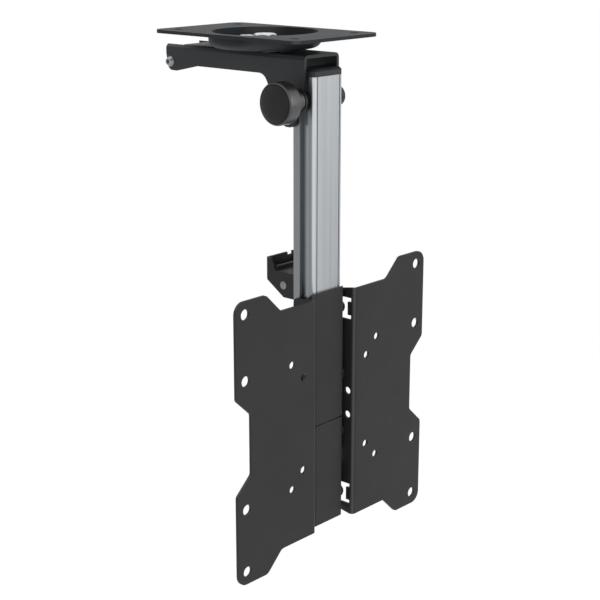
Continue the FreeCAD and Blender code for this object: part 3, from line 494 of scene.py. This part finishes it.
@dataclass(frozen=True)
class MouldedPlastic(Finish):
    """Moulded plastic with a fine spark-eroded grain."""

    dark: Colour = (0.012, 0.012, 0.013)
    pale: Colour = (0.02, 0.02, 0.021)
    gloss: float = 0.3
    roughness: Span = (0.38, 0.52)
    cloud_density: float = 40.0
    sheen_density: float = 90.0
    grain_density: float = 2600.0
    grain_height: float = 0.00002
    edge_radius: float = 0.0004

    def build(self) -> bpy.types.Material:
        """Build the plastic's material.

        Returns:
            The material.
        """
        nodes = NodeTree(self.name)
        shader = nodes.surface(Metallic=0.0, Specular_IOR_Level=self.gloss)
        bevel = nodes.soft_edges(self.edge_radius)
        clouds = nodes.ramp(nodes.noise(self.cloud_density, MIDDLE_DETAIL), 0.0, 1.0)
        nodes.link(nodes.mix(clouds, self.dark, self.pale), shader.inputs["Base Color"])
        sheen = nodes.noise(self.sheen_density, RICH_DETAIL)
        nodes.link(nodes.ramp(sheen, *self.roughness), shader.inputs["Roughness"])
        grain = nodes.add("ShaderNodeTexVoronoi", feature="SMOOTH_F1")
        grain.inputs["Scale"].default_value = self.grain_density
        nodes.link(nodes.position(EVEN), grain.inputs["Vector"])
        nodes.link(nodes.bump(grain.outputs["Distance"], self.grain_height, bevel), shader.inputs["Normal"])
        return nodes.material


BLACK_STEEL = PowderCoat("black_powder_coat", Slot.BLACK_STEEL)
PLATE_STEEL = PowderCoat(
    "plate_powder_coat",
    Slot.BLACK_STEEL,
    dark=(0.0302, 0.0345, 0.0378),
    pale=(0.0378, 0.043, 0.0472),
    gloss=0.05,
)
ARM_STEEL = PowderCoat(
    "satin_powder_coat",
    Slot.ARM_STEEL,
    dark=(0.017, 0.0205, 0.0232),
    pale=(0.0215, 0.0258, 0.029),
    gloss=0.3,
    roughness=(0.43, 0.49),
)
COLUMN = AnodisedAluminium("anodised_extrusion", Slot.COLUMN)
ZINC = PlatedMetal("bright_zinc", Slot.ZINC)
STUD_ZINC = PlatedMetal(
    "dull_zinc", Slot.ZINC, dark=(0.26, 0.27, 0.285), pale=(0.38, 0.39, 0.41), roughness=(0.34, 0.48)
)
PIN_STEEL = PlatedMetal(
    "ground_pin",
    Slot.DARK_HARDWARE,
    dark=(0.16, 0.16, 0.165),
    pale=(0.23, 0.23, 0.235),
    roughness=(0.36, 0.48),
)
DARK_HARDWARE = PlatedMetal(
    "black_zinc",
    Slot.DARK_HARDWARE,
    dark=(0.02, 0.02, 0.022),
    pale=(0.04, 0.04, 0.043),
    roughness=(0.3, 0.45),
    metallic=0.6,
)
PLASTIC = MouldedPlastic("moulded_plastic", Slot.PLASTIC)
KNOB = MouldedPlastic("knob_moulding", Slot.KNOB, gloss=0.85, roughness=(0.28, 0.36), grain_height=0.000008)
KNOB_FACE = MouldedPlastic(
    "knob_face_moulding", Slot.KNOB, dark=(0.007, 0.007, 0.0075), pale=(0.013, 0.013, 0.014), gloss=0.22
)
NYLON = MouldedPlastic("nylon_washer", Slot.NYLON, dark=(0.03, 0.03, 0.031), pale=(0.045, 0.045, 0.046))
SLEEVE = PlatedMetal("drawn_sleeve", Slot.SLEEVE, dark=(0.36, 0.36, 0.37), pale=(0.5, 0.5, 0.51))
BRASS = PlatedMetal("machined_brass", Slot.BRASS, dark=(0.5, 0.34, 0.12), pale=(0.66, 0.47, 0.2))


def dress_nodes(finish: Finish, *names: str) -> None:
    """Give carried-over CAD nodes their finish.

    Args:
        finish: Their finish.
        names: Names of the nodes.
    """
    for name in names:
        node = bpy.data.objects[name]
        node.data.materials.clear()
        node.data.materials.append(finish.make())
        LOG.info("dressed %s with %s", name, finish.name)


def add_piece(name: str, mesh: bmesh.types.BMesh, finish: Finish, body: str) -> bpy.types.Object:
    """Turn a built mesh into a piece of the object.

    Args:
        name: Name of the piece.
        mesh: The built mesh, in metres in the part's own frame.
        finish: Its finish.
        body: The CAD body that it rides on.

    Returns:
        The new object.
    """
    bmesh.ops.remove_doubles(mesh, verts=mesh.verts, dist=MERGE_DISTANCE)
    bmesh.ops.recalc_face_normals(mesh, faces=mesh.faces)
    for face in mesh.faces:
        face.smooth = True
    for edge in mesh.edges:
        if len(edge.link_faces) == 2 and edge.calc_face_angle() > SMOOTH_LIMIT:
            edge.smooth = False
    data = bpy.data.meshes.new(name)
    mesh.to_mesh(data)
    mesh.free()
    piece = bpy.data.objects.new(name, data)
    bpy.context.scene.collection.objects.link(piece)
    data.materials.append(finish.make())
    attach(piece, body)
    LOG.info("built %s: %d faces", name, len(data.polygons))
    return piece


class Former:
    """Builds turned, hexagonal and threaded forms along +Z in one mesh."""

    def __init__(self, segments: int = ROUND_SEGMENTS) -> None:
        """Start an empty mesh.

        Args:
            segments: Points round a turned form, a multiple of six.
        """
        self.mesh = bmesh.new()
        self.segments = segments
        self.frame = Matrix.Identity(4)

    def angles(self) -> list[float]:
        """Give the angles of the points round a form."""
        return [math.tau * step / self.segments for step in range(self.segments)]

    def circle(self, radius: float, height: float) -> list[Vector]:
        """Give the points of a circle about the axis."""
        return [Vector((radius * math.cos(turn), radius * math.sin(turn), height)) for turn in self.angles()]

    def hexagon_ring(self, flats: float, height: float, slope: float) -> list[Vector]:
        """Give the points round a hexagon, level or along the chamfer of its end.

        Args:
            flats: Size across the flats.
            height: Height of the end's flat face.
            slope: 0 for a level ring, 1 where the chamfer rises outwards, -1 where it falls.

        Returns:
            The points of the ring.
        """
        inner = flats * HEX_FACE_SHARE / 2
        half_side = math.pi / 6
        points = []
        for turn in self.angles():
            corner = (turn + half_side) % (2 * half_side) - half_side
            reach = flats / 2 / math.cos(half_side - abs(corner))
            drop = slope * (reach - inner) * math.tan(HEX_CHAMFER)
            points.append(Vector((reach * math.cos(turn), reach * math.sin(turn), height + drop)))
        return points

    def skin(self, rings: list[list[Vector]]) -> None:
        """Join rings of points into a closed skin.

        Args:
            rings: Rings of equal length, from one end to the other.
        """
        rows = [[self.mesh.verts.new(self.frame @ point) for point in ring] for ring in rings]
        count = len(rows[0])
        for low, high in zip(rows, rows[1:]):
            for step in range(count):
                ahead = (step + 1) % count
                self.mesh.faces.new((low[step], low[ahead], high[ahead], high[step]))
        self.mesh.faces.new(rows[0][::-1])
        self.mesh.faces.new(rows[-1])

    def lathe(self, profile: list[Span]) -> None:
        """Turn a solid from the height and radius of each ring."""
        self.skin([self.circle(radius, height) for height, radius in profile])

    def hexagon(self, flats: float, low: float, high: float, chamfer_low: bool, chamfer_high: bool) -> None:
        """Make a hexagon bar with turned chamfers at its ends.

        Args:
            flats: Size across the flats.
            low: Height of its lower face.
            high: Height of its upper face.
            chamfer_low: Whether the lower end has a chamfer.
            chamfer_high: Whether the upper end has a chamfer.
        """
        face = flats * HEX_FACE_SHARE / 2
        if chamfer_low:
            rings = [self.circle(face, low), self.hexagon_ring(flats, low, 1.0)]
        else:
            rings = [self.hexagon_ring(flats, low, 0.0)]
        if chamfer_high:
            rings += [self.hexagon_ring(flats, high, -1.0), self.circle(face, high)]
        else:
            rings += [self.hexagon_ring(flats, high, 0.0)]
        self.skin(rings)

    def thread(self, diameter: float, pitch: float, low: float, high: float) -> None:
        """Make a threaded rod with a chamfer at its upper end.

        Args:
            diameter: Outer diameter.
            pitch: Rise of one turn.
            low: Height of its lower end.
            high: Height of its upper end, where the chamfer is.
        """
        depth = pitch * THREAD_DEPTH_SHARE
        crest = diameter / 2
        steps = max(2, round((high - low) / pitch * THREAD_STEPS))
        rings = []
        for step in range(steps + 1):
            height = low + (high - low) * step / steps
            limit = crest - max(0.0, height - (high - depth))
            ring = []
            for turn in self.angles():
                share = (height / pitch - turn / math.tau) % 1.0
                wave = abs(2.0 * share - 1.0)
                radius = min(crest - depth * wave, limit)
                ring.append(Vector((radius * math.cos(turn), radius * math.sin(turn), height)))
            rings.append(ring)
        self.skin(rings)


@dataclass(frozen=True)
class ScrewRow:
    """One or two like hexagon screws with lock nuts, placed by their CAD nodes.

    The screws point along one axis and stand side by side along another, each given by its
    index. The names are those of the nodes of the washers, nuts and bolts.
    """

    name: str
    body: str
    finish: Finish
    way: Axis
    along: int
    spread: int
    diameter: float
    pitch: float
    flats: float
    thread_length: float
    washers: str
    nuts: str
    bolts: str

    def centres(self) -> list[Vector]:
        """Give the screws' centres, read from the round washers.

        Returns:
            The centres, with 0 along the screws.
        """
        low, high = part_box(self.washers)
        third = X + Y + Z - self.along - self.spread
        radius = (high[third] - low[third]) / 2
        ends = (low[self.spread] + radius, high[self.spread] - radius)
        found = []
        for place in sorted({round(end, PLACE_DIGITS) for end in ends}):
            centre = Vector((0.0, 0.0, 0.0))
            centre[self.spread] = place
            centre[third] = (low[third] + high[third]) / 2
            found.append(centre)
        return found

    def ends(self, node: str) -> Span:
        """Give the two ends of a node along the screws, from the heads to the tips.

        Args:
            node: Name of the node.

        Returns:
            Its end towards the heads and its end towards the tips.
        """
        low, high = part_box(node)
        first, last = (high, low) if self.way is Axis.DOWN else (low, high)
        return first[self.along], last[self.along]

    def build(self) -> None:
        """Build the screws and the lock nuts with their nylon rings."""
        head_end, tip = self.ends(self.bolts)
        head_seat = self.ends(self.washers)[0]
        nut_seat, nut_end = self.ends(self.nuts)
        screws, nuts, rings = Former(), Former(), Former()
        for centre in self.centres():
            centre[self.along] = head_seat
            screws.frame = self.way.frame(centre)
            self.form_screw(screws, abs(head_seat - head_end), abs(tip - head_seat))
            centre[self.along] = nut_seat
            nuts.frame = rings.frame = self.way.frame(centre)
            self.form_nut(nuts, rings, abs(nut_end - nut_seat))
        piece = add_piece(self.name + "_threaded_screws", screws.mesh, self.finish, self.body)
        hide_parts(self.bolts)
        piece = add_piece(self.name + "_lock_nuts", nuts.mesh, self.finish, self.body)
        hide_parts(self.nuts)
        add_piece(self.name + "_nut_rings", rings.mesh, NYLON, self.body)

    def form_screw(self, former: Former, head: float, length: float) -> None:
        """Form one screw from its seat.

        Args:
            former: The mesh to form it in.
            head: Height of the head.
            length: Length under the head.
        """
        former.hexagon(self.flats, -head, -SEAT_FACE, True, False)
        face = self.flats * HEX_FACE_SHARE / 2
        former.lathe([(-SEAT_FACE, face), (0.0, face)])
        plain = length - self.thread_length
        former.lathe([(0.0, self.diameter / 2), (plain, self.diameter / 2)])
        former.thread(self.diameter, self.pitch, plain, length)

    def form_nut(self, former: Former, rings: Former, height: float) -> None:
        """Form one lock nut and its nylon ring from its seat.

        Args:
            former: The mesh for the nut.
            rings: The mesh for the ring.
            height: Height of the nut.
        """
        hexagon = height * NUT_HEX_SHARE
        lip = height * NUT_LIP_SHARE
        collar = self.flats * HEX_FACE_SHARE / 2
        bore = self.diameter / 2
        inside = bore + (collar - bore) * NUT_RING_SHARE
        former.hexagon(self.flats, 0.0, hexagon, True, True)
        rim = height - lip
        outside = [(hexagon, collar), (rim, collar), (height, collar - lip)]
        former.lathe([*outside, (height, inside), (rim, inside)])
        low, high = height - 2 * lip, height - lip / 2
        rings.lathe([(low, inside), (high, inside), (high, bore), (low, bore)])


@dataclass(frozen=True)
class ClampKnob:
    """The knob that clamps the fold joint: hub, band with soft rims, grooved and domed face.

    Heights run along the bolt from the knob's seat to its face.
    """

    hub_radius: float = 8.0 * MM
    hub_chamfer: float = 0.5 * MM
    fillet: float = 1.2 * MM
    band_start: float = 12.4 * MM
    rim: float = 1.7 * MM
    face_radius: float = 13.6 * MM
    groove: float = 0.35 * MM
    dome_height: float = 1.6 * MM
    arc_steps: int = 8
    dome_steps: int = 10
    segments: int = 120

    def profile(self, length: float, radius: float, bore: float, depth: float) -> list[Span]:
        """Draw the knob's outline from the floor of its bore to its face.

        Args:
            length: Overall length along the bolt.
            radius: Radius of the band.
            bore: Radius of the bore for the insert.
            depth: Depth of the bore.

        Returns:
            Heights and radii.
        """
        shoulder = length - self.dome_height
        points = [(depth, 0.0), (depth, bore), (0.0, bore)]
        points += [(0.0, self.hub_radius - self.hub_chamfer), (self.hub_chamfer, self.hub_radius)]
        hollow = (self.band_start - self.fillet, self.hub_radius + self.fillet)
        points += self.arc(*hollow, self.fillet, -90.0, 0.0)
        points += self.arc(self.band_start + self.rim, radius - self.rim, self.rim, 180.0, 90.0)
        points += self.arc(shoulder - self.rim, radius - self.rim, self.rim, 90.0, 0.0)
        lip = self.face_radius + self.groove
        points += [(shoulder, lip), (shoulder - self.groove, lip - self.groove / 2)]
        points += [(shoulder - self.groove, self.face_radius), (shoulder, self.face_radius)]
        for step in range(1, self.dome_steps + 1):
            turn = math.pi / 2 * step / self.dome_steps
            points.append((shoulder + self.dome_height * math.sin(turn), self.face_radius * math.cos(turn)))
        return points

    def arc(self, height: float, radius: float, size: float, start: float, end: float) -> list[Span]:
        """Give the points of a round, at angles of 0 towards the face and 90 away from the axis.

        Args:
            height: Height of the round's centre.
            radius: Radius at which its centre lies.
            size: Radius of the round.
            start: Angle in degrees at which it starts.
            end: Angle in degrees at which it ends.

        Returns:
            Heights and radii.
        """
        points = []
        for step in range(self.arc_steps + 1):
            turn = math.radians(start + (end - start) * step / self.arc_steps)
            points.append((height + size * math.cos(turn), radius + size * math.sin(turn)))
        return points

    def build(self) -> None:
        """Build the knob in the place of its CAD solid."""
        low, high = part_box("fold_knob")
        middle = (low + high) / 2
        insert_low, insert_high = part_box("knob_insert")
        former = Former(self.segments)
        former.frame = Axis.LEFT.frame(Vector((high.x, middle.y, middle.z)))
        bore = (insert_high.z - insert_low.z) / 2
        depth = insert_high.x - insert_low.x
        former.lathe(self.profile(high.x - low.x, (high.z - low.z) / 2, bore, depth))
        face_x = low.x + self.dome_height + self.groove / 2
        for face in former.mesh.faces:
            if face.calc_center_median().x < face_x:
                face.material_index = 1
        piece = add_piece("clamp_knob", former.mesh, KNOB, "knob")
        piece.data.materials.append(KNOB_FACE.make())
        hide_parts("fold_knob")


@dataclass(frozen=True)
class Lamp:
    """A square lamp that points at the object, with its size in metres and its power in watts."""

    name: str
    place: Place
    size: float
    power: float

    def hang(self, target: Place) -> None:
        """Hang the lamp.

        Args:
            target: What it points at.
        """
        data = bpy.data.lights.new(self.name, "AREA")
        data.size = self.size
        data.energy = self.power
        lamp = bpy.data.objects.new(self.name, data)
        lamp.location = self.place
        away = Vector(self.place) - Vector(target)
        lamp.rotation_euler = away.to_track_quat("Z", "Y").to_euler()
        bpy.context.scene.collection.objects.link(lamp)


@dataclass(frozen=True)
class Studio:
    """Camera at the photo's angle, soft lamps, and a plain pale floor.

    The camera's place, axes and lens were fitted to the holes of the wings in the photo. The
    lens and the sensor are in millimetres, and places and distances are in metres.
    """

    camera_place: Place = (-0.79157, -0.74305, 0.09271)
    camera_right: Place = (0.6664, -0.7456, 0.0)
    camera_up: Place = (0.2013, 0.1799, 0.9629)
    camera_back: Place = (-0.7179, -0.6416, 0.27)
    camera_reach: float = 50.0
    lens: float = 84.78
    sensor: float = 36.0
    lamp_target: Place = (0.0, -0.03, -0.2)
    key: Lamp = Lamp("key", (0.9, -2.1, 0.5), 1.6, 21.0)
    fill: Lamp = Lamp("fill", (-2.4, -0.8, 0.5), 1.8, 9.0)
    top: Lamp = Lamp("top", (-0.4, 0.6, 2.0), 1.6, 3.5)
    floor_drop: float = 0.95
    floor_size: float = 40.0
    floor_cells: int = 8
    floor_glow: float = 1.12
    floor_glow_share: float = 0.82
    floor_colour: Colour = (0.93, 0.93, 0.93)
    ambient: float = 0.62

    def build(self) -> None:
        """Place the camera, lamps, world and floor."""
        self.place_camera()
        self.hang_lamps()
        self.paint_world()
        self.lay_floor()
        bpy.context.scene.view_settings.view_transform = "Standard"

    def place_camera(self) -> None:
        """Put the camera where the photo was taken from."""
        data = bpy.data.cameras.new("photo_camera")
        data.sensor_fit = "HORIZONTAL"
        data.sensor_width = self.sensor
        data.lens = self.lens
        data.clip_end = self.camera_reach
        camera = bpy.data.objects.new("photo_camera", data)
        bpy.context.scene.collection.objects.link(camera)
        rotation = Matrix((self.camera_right, self.camera_up, self.camera_back)).transposed().to_4x4()
        camera.matrix_world = Matrix.Translation(self.camera_place) @ rotation
        bpy.context.scene.camera = camera

    def hang_lamps(self) -> None:
        """Hang the key lamp in front, a softer fill on the left and a weak lamp above."""
        for lamp in (self.key, self.fill, self.top):
            lamp.hang(self.lamp_target)

    def paint_world(self) -> None:
        """Light the object softly all round, and show white behind it."""
        world = bpy.data.worlds.new("studio")
        bpy.context.scene.world = world
        world.use_nodes = True
        tree = world.node_tree
        tree.nodes.clear()
        output = tree.nodes.new("ShaderNodeOutputWorld")
        soft = tree.nodes.new("ShaderNodeBackground")
        soft.inputs["Strength"].default_value = self.ambient
        white = tree.nodes.new("ShaderNodeBackground")
        white.inputs["Color"].default_value = WHITE
        mix = tree.nodes.new("ShaderNodeMixShader")
        tree.links.new(see_through_rays(tree), mix.inputs["Fac"])
        tree.links.new(soft.outputs[0], mix.inputs[1])
        tree.links.new(white.outputs[0], mix.inputs[2])
        tree.links.new(mix.outputs[0], output.inputs["Surface"])

    def lay_floor(self) -> None:
        """Lay a pale floor well below, nearly white to the camera and shaded by the object."""
        mesh = bmesh.new()
        cells = self.floor_cells
        bmesh.ops.create_grid(mesh, x_segments=cells, y_segments=cells, size=self.floor_size / 2)
        data = bpy.data.meshes.new("studio_floor")
        mesh.to_mesh(data)
        mesh.free()
        floor = bpy.data.objects.new("studio_floor", data)
        floor.location = (0.0, 0.0, -self.floor_drop)
        bpy.context.scene.collection.objects.link(floor)
        nodes = NodeTree("pale_floor")
        matt = nodes.add("ShaderNodeBsdfDiffuse")
        matt.inputs["Color"].default_value = (*self.floor_colour, 1.0)
        glow = nodes.add("ShaderNodeEmission")
        glow.inputs["Color"].default_value = WHITE
        glow.inputs["Strength"].default_value = self.floor_glow
        share = nodes.add("ShaderNodeMixShader")
        share.inputs["Fac"].default_value = self.floor_glow_share
        nodes.link(matt.outputs[0], share.inputs[1])
        nodes.link(glow.outputs[0], share.inputs[2])
        mix = nodes.add("ShaderNodeMixShader")
        nodes.link(see_through_rays(nodes.tree), mix.inputs["Fac"])
        nodes.link(matt.outputs[0], mix.inputs[1])
        nodes.link(share.outputs[0], mix.inputs[2])
        nodes.link(mix.outputs[0], nodes.output.inputs["Surface"])
        data.materials.append(nodes.material)


def see_through_rays(tree: bpy.types.NodeTree) -> Socket:
    """Give 1 for rays from the camera, a gloss or a clear body.

    Args:
        tree: The node tree to build in.

    Returns:
        The socket of the value.
    """
    path = tree.nodes.new("ShaderNodeLightPath")
    first = tree.nodes.new("ShaderNodeMath")
    first.operation = "ADD"
    tree.links.new(path.outputs["Is Camera Ray"], first.inputs[0])
    tree.links.new(path.outputs["Is Glossy Ray"], first.inputs[1])
    total = tree.nodes.new("ShaderNodeMath")
    total.operation = "ADD"
    total.use_clamp = True
    tree.links.new(first.outputs[0], total.inputs[0])
    tree.links.new(path.outputs["Is Transmission Ray"], total.inputs[1])
    return total.outputs[0]


SWIVEL_ROW = ScrewRow(
    name="swivel",
    body="plate",
    finish=ZINC,
    way=Axis.DOWN,
    along=Z,
    spread=Y,
    diameter=10.0 * MM,
    pitch=1.5 * MM,
    flats=16.0 * MM,
    thread_length=13.0 * MM,
    washers="swivel_head_washer",
    nuts="swivel_nut",
    bolts="swivel_bolt",
)
GUIDE_ROW = replace(
    SWIVEL_ROW,
    name="guide",
    body="arm",
    diameter=6.0 * MM,
    pitch=1.0 * MM,
    flats=10.0 * MM,
    thread_length=8.0 * MM,
    washers="guide_washers",
    nuts="guide_nuts",
    bolts="guide_bolts",
)
CLAMP_ROW = replace(
    GUIDE_ROW,
    name="clamp",
    body="column",
    finish=DARK_HARDWARE,
    way=Axis.RIGHT,
    along=X,
    spread=Z,
    washers="clamp_washers",
    nuts="clamp_nuts",
    bolts="clamp_bolts",
)
WING_ROW = replace(CLAMP_ROW, name="wing", washers="wing_washers", nuts="wing_nuts", bolts="wing_bolts")


class SubAssembly:
    """Pieces that belong together: CAD nodes that get a finish, and meshes that are built here."""

    def dress(self) -> None:
        """Give the CAD nodes their finishes."""
        raise NotImplementedError

    def build(self) -> None:
        """Build the meshes that replace CAD nodes or go on them, where there are any."""


@dataclass(frozen=True)
class CeilingPlate(SubAssembly):
    """The plate on the ceiling with its swivel bolt."""

    swivel: ScrewRow = SWIVEL_ROW

    def dress(self) -> None:
        """Give the plate and the swivel's fixed parts their finishes."""
        dress_nodes(PLATE_STEEL, "ceiling_plate")
        dress_nodes(ZINC, "swivel_bolt", "swivel_head_washer", "swivel_nut_washer", "swivel_nut")

    def build(self) -> None:
        """Build the swivel bolt's thread and its lock nut."""
        self.swivel.build()


@dataclass(frozen=True)
class SwivelArm(SubAssembly):
    """The folded arm with its guides, studs, pivot bolt and knob."""

    guides: ScrewRow = GUIDE_ROW
    knob: ClampKnob = ClampKnob()

    def dress(self) -> None:
        """Give the arm's parts their finishes."""
        dress_nodes(ARM_STEEL, "arm_channel")
        dress_nodes(NYLON, "friction_washer", "swivel_bush")
        dress_nodes(ZINC, "guide_bolts", "guide_washers", "guide_nuts")
        dress_nodes(STUD_ZINC, "strike_studs")
        dress_nodes(DARK_HARDWARE, "pivot_bolt", "knob_washer")
        dress_nodes(KNOB, "fold_knob")
        dress_nodes(BRASS, "knob_insert")

    def build(self) -> None:
        """Build the guide screws and the knob."""
        self.guides.build()
        self.knob.build()


@dataclass(frozen=True)
class Column(SubAssembly):
    """The hanging column with its caps, sleeve and catch."""

    def dress(self) -> None:
        """Give the column's parts their finishes."""
        dress_nodes(COLUMN, "column_extrusion")
        dress_nodes(PLASTIC, "column_top_cap", "column_bottom_cap", "catch_core")
        dress_nodes(SLEEVE, "pivot_sleeve")
        dress_nodes(NYLON, "pivot_washers")
        dress_nodes(BLACK_STEEL, "catch_housing")
        dress_nodes(PIN_STEEL, "catch_pin")
        dress_nodes(DARK_HARDWARE, "catch_screws")


@dataclass(frozen=True)
class ScreenHead(SubAssembly):
    """The saddle and the two wings that carry the screen.

    The right wing's flange has an open gap near each end. No light shows through there in the
    photo, so the wing is built again with a whole flange. A gap's place is given by its near
    and far end from the wing's middle height, and by its start behind the wing's front.
    """

    clamps: ScrewRow = CLAMP_ROW
    wing_screws: ScrewRow = WING_ROW
    flange_sheet: float = 2.0 * MM
    gap_near: float = 38.0 * MM
    gap_far: float = 51.0 * MM
    gap_front: float = 8.6 * MM
    nearness: float = 0.05 * MM
    wall_normal: float = 0.5

    def dress(self) -> None:
        """Give the head's parts their finishes."""
        dress_nodes(BLACK_STEEL, "saddle", "left_wing", "right_wing")
        dress_nodes(DARK_HARDWARE, "clamp_bolts", "clamp_washers", "clamp_nuts", "saddle_spacer")
        dress_nodes(DARK_HARDWARE, "wing_bolts", "wing_washers", "wing_nuts", "wing_spacers")

    def build(self) -> None:
        """Build the right wing and the head's screws."""
        self.close_right_flange()
        self.clamps.build()
        self.wing_screws.build()

    def close_right_flange(self) -> None:
        """Build the right wing with a whole flange from the mesh of its CAD node."""
        low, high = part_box("right_wing")
        middle = (low.z + high.z) / 2
        across = (low.x, low.x + self.flange_sheet)
        along = (low.y + self.gap_front, high.y)
        mesh = bmesh.new()
        mesh.from_mesh(bpy.data.objects["right_wing"].data)
        bmesh.ops.remove_doubles(mesh, verts=mesh.verts, dist=MERGE_DISTANCE)
        self.fill_gap(mesh, across, along, (middle + self.gap_near, middle + self.gap_far))
        self.fill_gap(mesh, across, along, (middle - self.gap_far, middle - self.gap_near))
        piece = add_piece("right_wing_whole_flange", mesh, BLACK_STEEL, "column")
        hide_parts("right_wing")

    def fill_gap(self, mesh: bmesh.types.BMesh, across: Span, along: Span, up: Span) -> None:
        """Take the walls of a gap in the flange away and close the sheet over it.

        Args:
            mesh: The wing's mesh.
            across: Inner and outer face of the flange on X.
            along: Front and back of the gap on Y.
            up: Lower and upper end of the gap on Z.
        """
        walls = [face for face in mesh.faces if self.is_wall(face, across, along, up)]
        bmesh.ops.delete(mesh, geom=walls, context="FACES")

        def corner(x: float, y: float, z: float) -> bmesh.types.BMVert:
            """Give the mesh's corner next to a place."""
            place = Vector((x, y, z))
            return min(mesh.verts, key=lambda vertex: (vertex.co - place).length)

        lower, upper = up
        for x in across:
            sides = ((along[0], lower), (along[1], lower), (along[1], upper), (along[0], upper))
            mesh.faces.new([corner(x, y, z) for y, z in sides])
        back = ((across[0], lower), (across[1], lower), (across[1], upper), (across[0], upper))
        mesh.faces.new([corner(x, along[1], z) for x, z in back])

    def is_wall(self, face: bmesh.types.BMFace, across: Span, along: Span, up: Span) -> bool:
        """Tell whether a face is one of a gap's own walls.

        Args:
            face: The face.
            across: Inner and outer face of the flange on X.
            along: Front and back of the gap on Y.
            up: Lower and upper end of the gap on Z.

        Returns:
            True for a face inside the gap's box that does not look along X.
        """
        near = self.nearness
        inside = all(
            vertex.co.x < across[1] + near
            and vertex.co.y > along[0] - near
            and up[0] - near < vertex.co.z < up[1] + near
            for vertex in face.verts
        )
        return inside and abs(face.normal.x) < self.wall_normal


def main() -> None:
    """Build the mount and its studio."""
    logging.basicConfig(level=logging.INFO, format="%(name)s: %(message)s")
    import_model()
    Studio().build()
    for part in (CeilingPlate(), SwivelArm(), Column(), ScreenHead()):
        part.dress()
        part.build()


if __name__ == "__main__":
    main()
